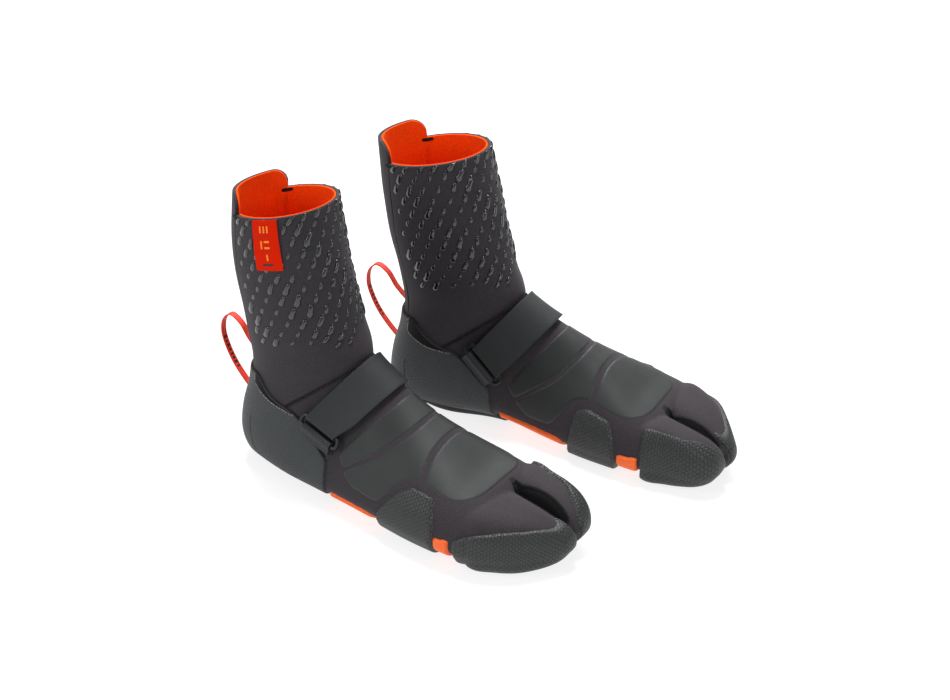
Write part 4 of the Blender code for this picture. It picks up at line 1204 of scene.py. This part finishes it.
def cup_fabric():
    """Rubberised heel fabric with fine diagonal ribs, a black pile strip and a sunk groove painted near
    black as shade.
    """
    paint = Paint("heel_cup_fabric", (0.030, 0.035, 0.038), 0.60, 0.4)
    where = paint.place()
    turned = paint.node("ShaderNodeMapping", {"Vector": where, "Rotation": (radians(48), 0, 0)}).outputs[0]
    ribs = paint.node("ShaderNodeTexWave", {"Vector": turned, "Scale": 200.0, "Distortion": 0.8,
                                            "Detail": 1.0}, bands_direction="Z").outputs["Fac"]
    grain = paint.noise(where, 900.0, 2.0)
    height = paint.maths("ADD", paint.maths("MULTIPLY", ribs, 0.6), paint.maths("MULTIPLY", grain, 0.4))
    tint = paint.mix(paint.ramp(height, 0.2, 0.85), (0.019, 0.022, 0.024), (0.040, 0.047, 0.050))
    rim = paint.stored("rim")
    pile = paint.stored("pile")
    in_pile = paint.maths("MULTIPLY", paint.ramp(pile, 0.3, 0.6), paint.ramp(rim, 1.2, 1.6))
    tint = paint.mix(in_pile, tint, (0.004, 0.004, 0.005))
    paint.tree.links.new(paint.ramp(in_pile, 0, 1, 0.4, 0.1), paint.shader.inputs["Specular IOR Level"])
    stitch = paint.maths("ABSOLUTE", pile)
    stitch = paint.maths("MULTIPLY", paint.ramp(stitch, 0.35, 0.6, 1.0, 0.0), paint.ramp(rim, 0.8, 1.4))
    stitch = paint.maths("MULTIPLY", stitch, paint.ramp(grain, 0.45, 0.55))
    tint = paint.mix(stitch, tint, (0.24, 0.22, 0.19))
    # The sunk groove is painted near black: painted shade in the groove, besides its bump relief.
    groove = paint.ramp(paint.stored("groove"), 0.35, 0.9)
    tint = paint.mix(groove, (0.003, 0.003, 0.003), tint)
    edge = paint.ramp(rim, 0.5, 1.0)
    paint.colour(paint.mix(edge, (0.006, 0.006, 0.007), tint))
    paint.bump(height, 0.00040, 0.8)
    paint.bump(groove, 0.0008, 1.0)
    paint.bump(paint.maths("MULTIPLY", in_pile, paint.noise(where, 1600.0, 2.0)), 0.0008, 0.8)
    return paint.material


def cell_walls(paint, pitch=2.1):
    """A pattern of small round-cornered cells, 1 inside a cell and 0 on its walls."""
    split = paint.node("ShaderNodeSeparateXYZ", {0: paint.stored("cells", True)})
    x = paint.maths("MULTIPLY", split.outputs[0], 2 * pi / pitch)
    y = paint.maths("MULTIPLY", split.outputs[1], 2 * pi / pitch)
    total = paint.maths("COSINE", x)
    for turn in (sin(pi / 3), -sin(pi / 3)):
        slanted = paint.maths("MULTIPLY_ADD", y, turn, paint.maths("MULTIPLY", x, 0.5))
        total = paint.maths("ADD", total, paint.maths("COSINE", slanted))
    return paint.ramp(total, -1.5, -0.2)


def cap_rubber():
    """Moulded rubber with a grain of small cells, a little dust in it, and a lighter rim that is painted
    highlight with some wear.
    """
    paint = Paint("cell_rubber", (0.026, 0.030, 0.030), 0.5, 0.45)
    where = paint.place()
    wall = cell_walls(paint)
    grain = paint.noise(where, 1200.0, 2.0)
    tint = paint.mix(wall, (0.007, 0.008, 0.008), (0.023, 0.026, 0.026))
    dust = paint.ramp(paint.noise(where, 260.0, 4.0, 0.7), 0.64, 0.82, 0.0, 0.3)
    tint = paint.mix(dust, tint, (0.13, 0.12, 0.10))
    # Lighter rim: a painted highlight along the patch edges, with some edge wear in it.
    edge = paint.ramp(paint.stored("rim"), 0.15, 0.8)
    paint.colour(paint.mix(edge, (0.030, 0.032, 0.030), tint))
    paint.bump(wall, 0.0005, 0.8)
    paint.bump(grain, 0.0001, 0.5)
    return paint.material


def sole_rubber():
    """Plain dark outsole rubber with a fine grain."""
    paint = Paint("sole_rubber", (0.014, 0.016, 0.016), 0.65, 0.4)
    grain = paint.noise(paint.place(), 700.0, 2.0)
    paint.colour(paint.mix(grain, (0.009, 0.010, 0.010), (0.018, 0.020, 0.020)))
    paint.bump(grain, 0.0004, 0.7)
    return paint.material


def webbing(name, dark, light, scale, depth, roughness=0.6, specular=0.4):
    """Woven band: crossed ribs along and across it."""
    paint = Paint(name, light, roughness, specular)
    cloth = paint.stored("cloth", True)
    split = paint.node("ShaderNodeSeparateXYZ", {0: cloth})
    along = paint.maths("SINE", paint.maths("MULTIPLY", split.outputs[0], scale))
    across = paint.maths("SINE", paint.maths("MULTIPLY", split.outputs[1], scale * 0.9))
    weave = paint.ramp(paint.maths("MULTIPLY", along, across), -1.0, 1.0)
    grain = paint.noise(paint.place(), 1100.0, 2.0)
    height = paint.maths("ADD", paint.maths("MULTIPLY", weave, 0.6), paint.maths("MULTIPLY", grain, 0.4))
    paint.colour(paint.mix(paint.ramp(height, 0.2, 0.8), dark, light))
    paint.bump(height, depth, 0.8)
    return paint.material


def plain(name, colour, roughness, grain_scale=900.0, depth=0.00015, specular=0.4):
    """An even material with a fine grain."""
    paint = Paint(name, colour, roughness, specular)
    grain = paint.noise(paint.place(), grain_scale, 2.0)
    darker = tuple(c * 0.75 for c in colour)
    lighter = tuple(min(1.0, c * 1.2) for c in colour)
    paint.colour(paint.mix(grain, darker, lighter))
    paint.bump(grain, depth, 0.6)
    return paint.material


def make_materials():
    """All materials, by the short names that the pieces ask for."""
    return {
        "neoprene": neoprene(),
        "plush": plush(),
        "drops": drop_print(),
        "print": instep_print(),
        "cup_fabric": cup_fabric(),
        "cap": cap_rubber(),
        "sole": sole_rubber(),
        "webbing": webbing("strap_webbing", (0.008, 0.0098, 0.0105), (0.018, 0.0205, 0.022), 7.0, 0.00025),
        "black_web": webbing("black_webbing", (0.008, 0.009, 0.010), (0.024, 0.027, 0.030), 4.5, 0.0003),
        "red_tape": webbing("red_tape", (0.72, 0.028, 0.010), (0.88, 0.050, 0.018), 6.0, 0.0002),
        "label": webbing("label_tape", (0.56, 0.012, 0.001), (0.66, 0.018, 0.001), 9.0, 0.00008, 0.9, 0.05),
        "orange_foam": plain("orange_foam", (1.0, 0.13, 0.015), 0.6, 500.0),
        "ring_plastic": plain("ring_plastic", (0.010, 0.011, 0.012), 0.32, 300.0, 0.00005),
        "thread": plain("black_thread", (0.006, 0.006, 0.007), 0.8, 900.0, 0.00015, 0.25),
        "orange_thread": plain("orange_thread", (0.78, 0.035, 0.004), 0.8),
        "mark_orange": plain("mark_orange", (1.0, 0.22, 0.01), 0.6, 900.0, 0.00002),
        "mark_dark": plain("mark_dark", (0.03, 0.012, 0.012), 0.6, 900.0, 0.00002),
        "foam": plain("dark_foam", (0.045, 0.045, 0.05), 0.9, 700.0, 0.0004),
    }


# ================================================================ one boot
class Boot:
    """Puts meshes made in boot millimetres into the shared frame as named pieces."""

    def __init__(self, name, side, near, paints):
        self.name = name
        self.side = side
        self.near = near
        self.paints = paints
        joint = next(j for j in frame["joints"] if j["name"] == name + "_pull_loop_swing")
        turn = atan2(joint["axis"][0], -joint["axis"][1])
        turned = Matrix.Rotation(turn, 4, "Z")
        ends = TAPE_PATH[[0, -1]].mean(axis=0)
        middle = turned @ Vector((0, -ends[0] * MM, ends[1] * MM))
        place = Matrix.Translation(Vector(joint["pos_m"]) - middle) @ turned
        to_local = Matrix(((0, -side, 0, 0), (-1, 0, 0, 0), (0, 0, 1, 0), (0, 0, 0, 1)))
        self.matrix = place @ to_local @ Matrix.Scale(MM, 4)

    def add(self, piece, mesh, paint, slot, body_name="boots", replaces=()):
        """One named piece that rides on a body and stands for CAD nodes."""
        places = arrays(mesh)[0]
        high = np.maximum(0, (places[:, 2] - LEAN_FROM) / LEAN_HEIGHT)
        places[:, 0] += LEAN[self.name] * high ** 2 * (1 - (places[:, 0] + 10) / 95)
        mesh.vertices.foreach_set("co", places.ravel())
        mesh.transform(self.matrix)
        if self.matrix.determinant() < 0:
            mesh.flip_normals()
        mesh.materials.clear()
        mesh.materials.append(self.paints[paint])
        thing = bpy.data.objects.new(self.name + "_" + piece, mesh)
        bpy.context.scene.collection.objects.link(thing)
        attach(thing, body_name)
        if replaces:
            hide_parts(*[self.name + "_" + node for node in replaces])
        return thing


def below_seam(mesh):
    """The part of a foot form in front of and below the ankle seam."""
    slope = Vector((-0.8, 0, 1)).normalized()
    bm = bmesh.new()
    bm.from_mesh(mesh)
    everything = bm.verts[:] + bm.edges[:] + bm.faces[:]
    bmesh.ops.bisect_plane(bm, geom=everything, plane_co=Vector((1, 0, 20.8)), plane_no=slope,
                           clear_outer=True)
    bm.to_mesh(mesh)
    bm.free()
    return shaded(mesh)


def foot_pieces(boot, foot):
    """The neoprene foot, its lining and the insole."""
    shell = applied(below_seam(foot.mesh.copy()), ("SOLIDIFY", {"thickness": NEOPRENE, "offset": -1}))
    boot.add("foot", shell, "neoprene", "neoprene", replaces=["foot_shell"])

    inner = foot_form(5.5, -(NEOPRENE + GAP + LINING + 0.8), 2.0, 4)
    points, _, faces = arrays(inner)
    insole = insole_mesh(BVHTree.FromPolygons([Vector(p) for p in points], faces))
    lining = applied(below_seam(inner), ("SOLIDIFY", {"thickness": LINING, "offset": 1}))
    boot.add("foot_lining_pile", lining, "plush", "plush", replaces=["foot_lining"])
    boot.add("foam_insole", insole, "foam", "dark_foam", replaces=["insole"])


def cells_round(across, ahead):
    """Places of the moulded cells, in millimetres laid flat, as a material reads them."""
    return {"cells": np.stack([across, ahead, np.zeros(len(across))], axis=1)}


def side_cells(p):
    """Cells in rows along the foot and round it."""
    return cells_round(p[:, 0], np.arctan2(p[:, 1] - 8, p[:, 2] - 22) * 38)


def toe_cells(p):
    """Cells in rows round the toes and up over them."""
    reach = p - np.array([225.0, 5.0, 15.0])
    turn = np.arctan2(reach[:, 1], reach[:, 0])
    rise = np.arctan2(reach[:, 2], np.hypot(reach[:, 0], reach[:, 1]))
    return cells_round(turn * 45, rise * 35)


def bonded_pieces(boot, foot):
    """The heel cup, printed panels, midsole and rubber, all bonded to the foot."""
    p = foot.points
    cup_marks = {"pile": CUP_PILE.inside(p), "groove": line_distance(p, CUP_GROOVE)}
    cap_options = {"slit": -3.5, "extras": toe_cells(p)}
    four_toes = np.minimum(TOE_CAP_SIDE.inside(p), TOE_CAP_TOP.inside(p))
    heel = steps_between(7, 11, SOLE_TO_FLOOR, GAP + MIDSOLE_THICK + OUTSOLE)
    fore = steps_between(7, 15, SOLE_TO_FLOOR, GAP + PATCH)
    toe = steps_between(7, 14, SOLE_TO_FLOOR, GAP + PATCH)
    rows = [("heel_cup_cloth", "heel_cup", "cup_fabric", "cup_fabric", HEEL_CUP.inside(p),
             GAP + CUP, 1.0, {"extras": cup_marks})]
    for name, outline in (("rear", INSTEP_REAR), ("middle", INSTEP_MIDDLE), ("front", INSTEP_FRONT)):
        rows.append(("instep_print_" + name, "instep_panel_" + name, "print", "print",
                     outline.inside(p), PRINT, 0.8, {"sink": 0.3}))
    rows += [
        ("midsole_foam", "midsole", "orange_foam", "orange_foam", MIDSOLE.inside(p),
         GAP + MIDSOLE_THICK, 1.0, {}),
        ("heel_sole_rubber", "heel_outsole", "sole", "rubber", HEEL_SOLE.inside(p), heel, 1.5, {}),
        ("forefoot_rubber", "forefoot_outsole", "cap", "rubber", FOREFOOT_SOLE.inside(p), fore, 1.3,
         {"extras": side_cells(p)}),
        ("toe_rubber", "toe_cap", "cap", "rubber", four_toes, toe, 1.3, cap_options),
        ("big_toe_rubber", "big_toe_cap", "cap", "rubber", BIG_CAP_TOP.inside(p), toe, 1.3, cap_options),
    ]
    for piece, node, paint, slot, inside, outer, rim, options in rows:
        boot.add(piece, foot.patch(inside, outer, rim, **options), paint, slot, replaces=[node])


def shaft_pieces(boot):
    """Shaft panels, lining, printed drops, seams and bartacks."""
    back = NEOPRENE + 0.25
    inner = -back - LINING
    for label, panel in (("front", front_panel), ("back", back_panel)):
        boot.add("shaft_%s_neoprene" % label, panel(-NEOPRENE, 0), "neoprene", "neoprene",
                 replaces=["shaft_%s_panel" % label])
    for label, panel, nodes in (("front", front_panel, ["shaft_lining"]), ("back", back_panel, [])):
        boot.add("shaft_lining_" + label, panel(inner, -back, 0), "plush", "plush", replaces=nodes)
    boot.add("shaft_drops", drops_mesh(boot.side), "drops", "print")

    spans = []
    u = np.linspace(0.25, 6.9, 120)
    for side in (1, -1):
        line, normals = shaft_line(side * seam_angle(u), u, inner - 0.1)
        spans += overlock(line, normals, 2.6, 2.4)
    boot.add("lining_seam_stitches", thread_tubes(spans, 0.26, 0.25), "orange_thread", "plush")

    line, normals = shaft_line(np.linspace(-180, 180, 200), np.full(200, float(SEAM)), 0.1)
    visible = []
    for span in overlock(line, normals, 3.4, 1.9):
        middle = np.array([tuple((Vector(span[0]) + Vector(span[1])) / 2)])
        if HEEL_CUP.inside(middle)[0] < 0.5:
            visible.append(span)
    boot.add("ankle_seam_stitches", thread_tubes(visible, 0.28, 0.3), "thread", "thread")

    for side, label in ((1, "lateral"), (-1, "medial")):
        spans = []
        for offset, turn in ((0.25, 1), (inner - 0.25, -1)):
            for k in range(9):
                u = 0.05 + 0.012 * k
                degrees = side * SEAM_ANGLE_TOP + np.array([-6.5, 5.5]) + 0.6 * (k % 3)
                ends = shaft(degrees, np.full(2, u), offset)
                normal = outward(body, np.full(2, u), np.radians(degrees), END)[0] * turn
                spans.append((Vector(ends[0]), Vector(ends[1]), Vector(normal)))
        boot.add("bartack_stitches_" + label, thread_tubes(spans, 0.42, 0.35), "thread", "thread",
                 replaces=["collar_bartack_" + label])


def strap_pieces(boot, foot):
    """Rings, their webbing loops and the strap with its folded-back end."""
    path = StrapPath(foot)
    moving = boot.name + "_strap_ring"
    for direction, label in ((1, "lateral"), (-1, "medial")):
        ring_frame = path.ring_frame(direction)
        holder = moving if direction == boot.near else "boots"
        boot.add("strap_ring_" + label, ring(ring_frame), "ring_plastic", "ring_plastic", holder,
                 replaces=["ring_" + label])
        boot.add("ring_webbing_" + label, web_loop(ring_frame), "black_web", "black_web",
                 replaces=["web_loop_" + label])
    boot.add("instep_strap", strap_base(path, boot.near), "webbing", "webbing", replaces=["strap"])
    boot.add("strap_end", strap_flap(path, boot.near), "webbing", "webbing", boot.name + "_strap_end",
             replaces=["strap_flap"])


def slit_stitches(foot):
    """Overlock and running stitches on both edges of the toe slit."""
    (s_back, m_back), (s_front, m_front) = SLIT_ENDS
    spans = []
    for side in (1, -1):
        line, ups = [], []
        for share in np.linspace(0.0, 0.97, 120):
            s = s_back + (s_front - s_back) * share
            m = m_back + (m_front - m_back) * share + side * (slit_half(share) + 1.4)
            hit, normal = foot.tree.ray_cast(Vector((s, m, 80)), Vector((0, 0, -1)))[:2]
            line.append(hit + normal * 0.15)
            ups.append(normal)
        spans += overlock(line, ups, 3.0, 1.5)
        spans += running(line, ups, 1.7, 1.7)
    return thread_tubes(spans, 0.3, 0.3)


def trim_pieces(boot, foot):
    """Pull loop, label, and the stitching on the foot."""
    holder = boot.name + "_heel_loop"
    boot.add("heel_pull_tape", tape_loop(), "red_tape", "red_tape", holder, replaces=["pull_loop"])
    boot.add("heel_pull_marks", tape_marks(0.24, 0.44, 8), "mark_dark", "red_tape", holder)
    if boot.name == "right":
        boot.add("label_tape", label_mesh(), "label", "orange_tape", "right_label",
                 replaces=["collar_label"])
        boot.add("label_bars", label_marks(LABEL_BARS), "mark_orange", "orange_tape", "right_label")
        boot.add("label_small_bars", label_marks(LABEL_DARK_BARS), "mark_dark", "orange_tape",
                 "right_label")
    boot.add("toe_slit_stitches", slit_stitches(foot), "thread", "thread")


def make_boot(name, side, near, paints):
    """All pieces of one boot; near is the side (1 lateral, -1 medial) with the folded strap end."""
    boot = Boot(name, side, near, paints)
    foot = Foot()
    foot_pieces(boot, foot)
    bonded_pieces(boot, foot)
    shaft_pieces(boot)
    strap_pieces(boot, foot)
    trim_pieces(boot, foot)


# ================================================================ studio
def softbox(name, place, aim, size, power):
    """A white area light that faces a point."""
    lamp = bpy.data.lights.new(name, "AREA")
    lamp.shape = "RECTANGLE"
    lamp.size, lamp.size_y = size
    lamp.energy = power
    thing = bpy.data.objects.new(name, lamp)
    thing.location = place
    thing.rotation_euler = (Vector(aim) - Vector(place)).to_track_quat("-Z", "Y").to_euler()
    bpy.context.scene.collection.objects.link(thing)


# The floor gives off most of its own light, so that no colour of the boots shows on it.
FLOOR_GLOW = 0.80
FLOOR_DROP = 0.0004


def floor():
    """A pale flat floor, wide enough to fill the view."""
    size = 8.0
    mesh = mesh_from([(-size, -size, 0), (size, -size, 0), (size, size, 0), (-size, size, 0)],
                     [(0, 1, 2, 3)], "floor")
    paint = Paint("floor_white", (0.30, 0.30, 0.30), 0.9, 0.05)
    paint.shader.inputs["Emission Color"].default_value = (1, 1, 1, 1)
    paint.shader.inputs["Emission Strength"].default_value = FLOOR_GLOW
    mesh.materials.append(paint.material)
    thing = bpy.data.objects.new("floor", mesh)
    thing.location.z = -FLOOR_DROP
    bpy.context.scene.collection.objects.link(thing)


# The camera looks at a point on the floor between the heels, from the left front of the pair.
CAMERA_DISTANCE = 1.468
CAMERA_TURN = radians(-53.04)
CAMERA_RISE = radians(31.5)
CAMERA_LENS = 72.4
CAMERA_SHIFT = (0.0895, 0.0526)
AIM_FROM_CENTRE = (0.0233, 0.0946)


def camera():
    """The view of the pair from the front left."""
    low, high = CAD_BOX
    centre = (low + high) / 2
    aim = Vector((centre.x + AIM_FROM_CENTRE[0], centre.y + AIM_FROM_CENTRE[1], low.z))
    back = Vector((sin(CAMERA_TURN) * cos(CAMERA_RISE), -cos(CAMERA_TURN) * cos(CAMERA_RISE),
                   sin(CAMERA_RISE)))
    lens = bpy.data.cameras.new("camera")
    lens.lens = CAMERA_LENS
    lens.sensor_width = 36
    lens.shift_x, lens.shift_y = CAMERA_SHIFT
    lens.clip_end = 50
    thing = bpy.data.objects.new("camera", lens)
    thing.location = aim + back * CAMERA_DISTANCE
    thing.rotation_euler = (-back).to_track_quat("-Z", "Y").to_euler()
    bpy.context.scene.collection.objects.link(thing)
    bpy.context.scene.camera = thing


def studio():
    """An even white surrounding and four softboxes."""
    world = bpy.context.scene.world or bpy.data.worlds.new("world")
    bpy.context.scene.world = world
    bpy.context.scene.view_settings.view_transform = "Standard"
    world.use_nodes = True
    sky = world.node_tree.nodes["Background"]
    sky.inputs["Color"].default_value = (1, 1, 1, 1)
    sky.inputs["Strength"].default_value = 0.32
    softbox("above", (0.2, 0.3, 1.9), (0, 0, 0.05), (0.5, 0.5), 34)
    softbox("left_back", (-1.5, 0.9, 0.9), (0, 0, 0.1), (0.3, 1.0), 9)
    softbox("right_back", (1.3, 0.5, 1.3), (0.05, -0.05, 0.05), (0.9, 0.9), 24)
    softbox("front", (-0.7, -1.6, 1.0), (0, 0, 0.08), (1.4, 0.6), 9)


paints = make_materials()
make_boot("right", 1, 1, paints)
make_boot("left", -1, -1, paints)
floor()
studio()
camera()
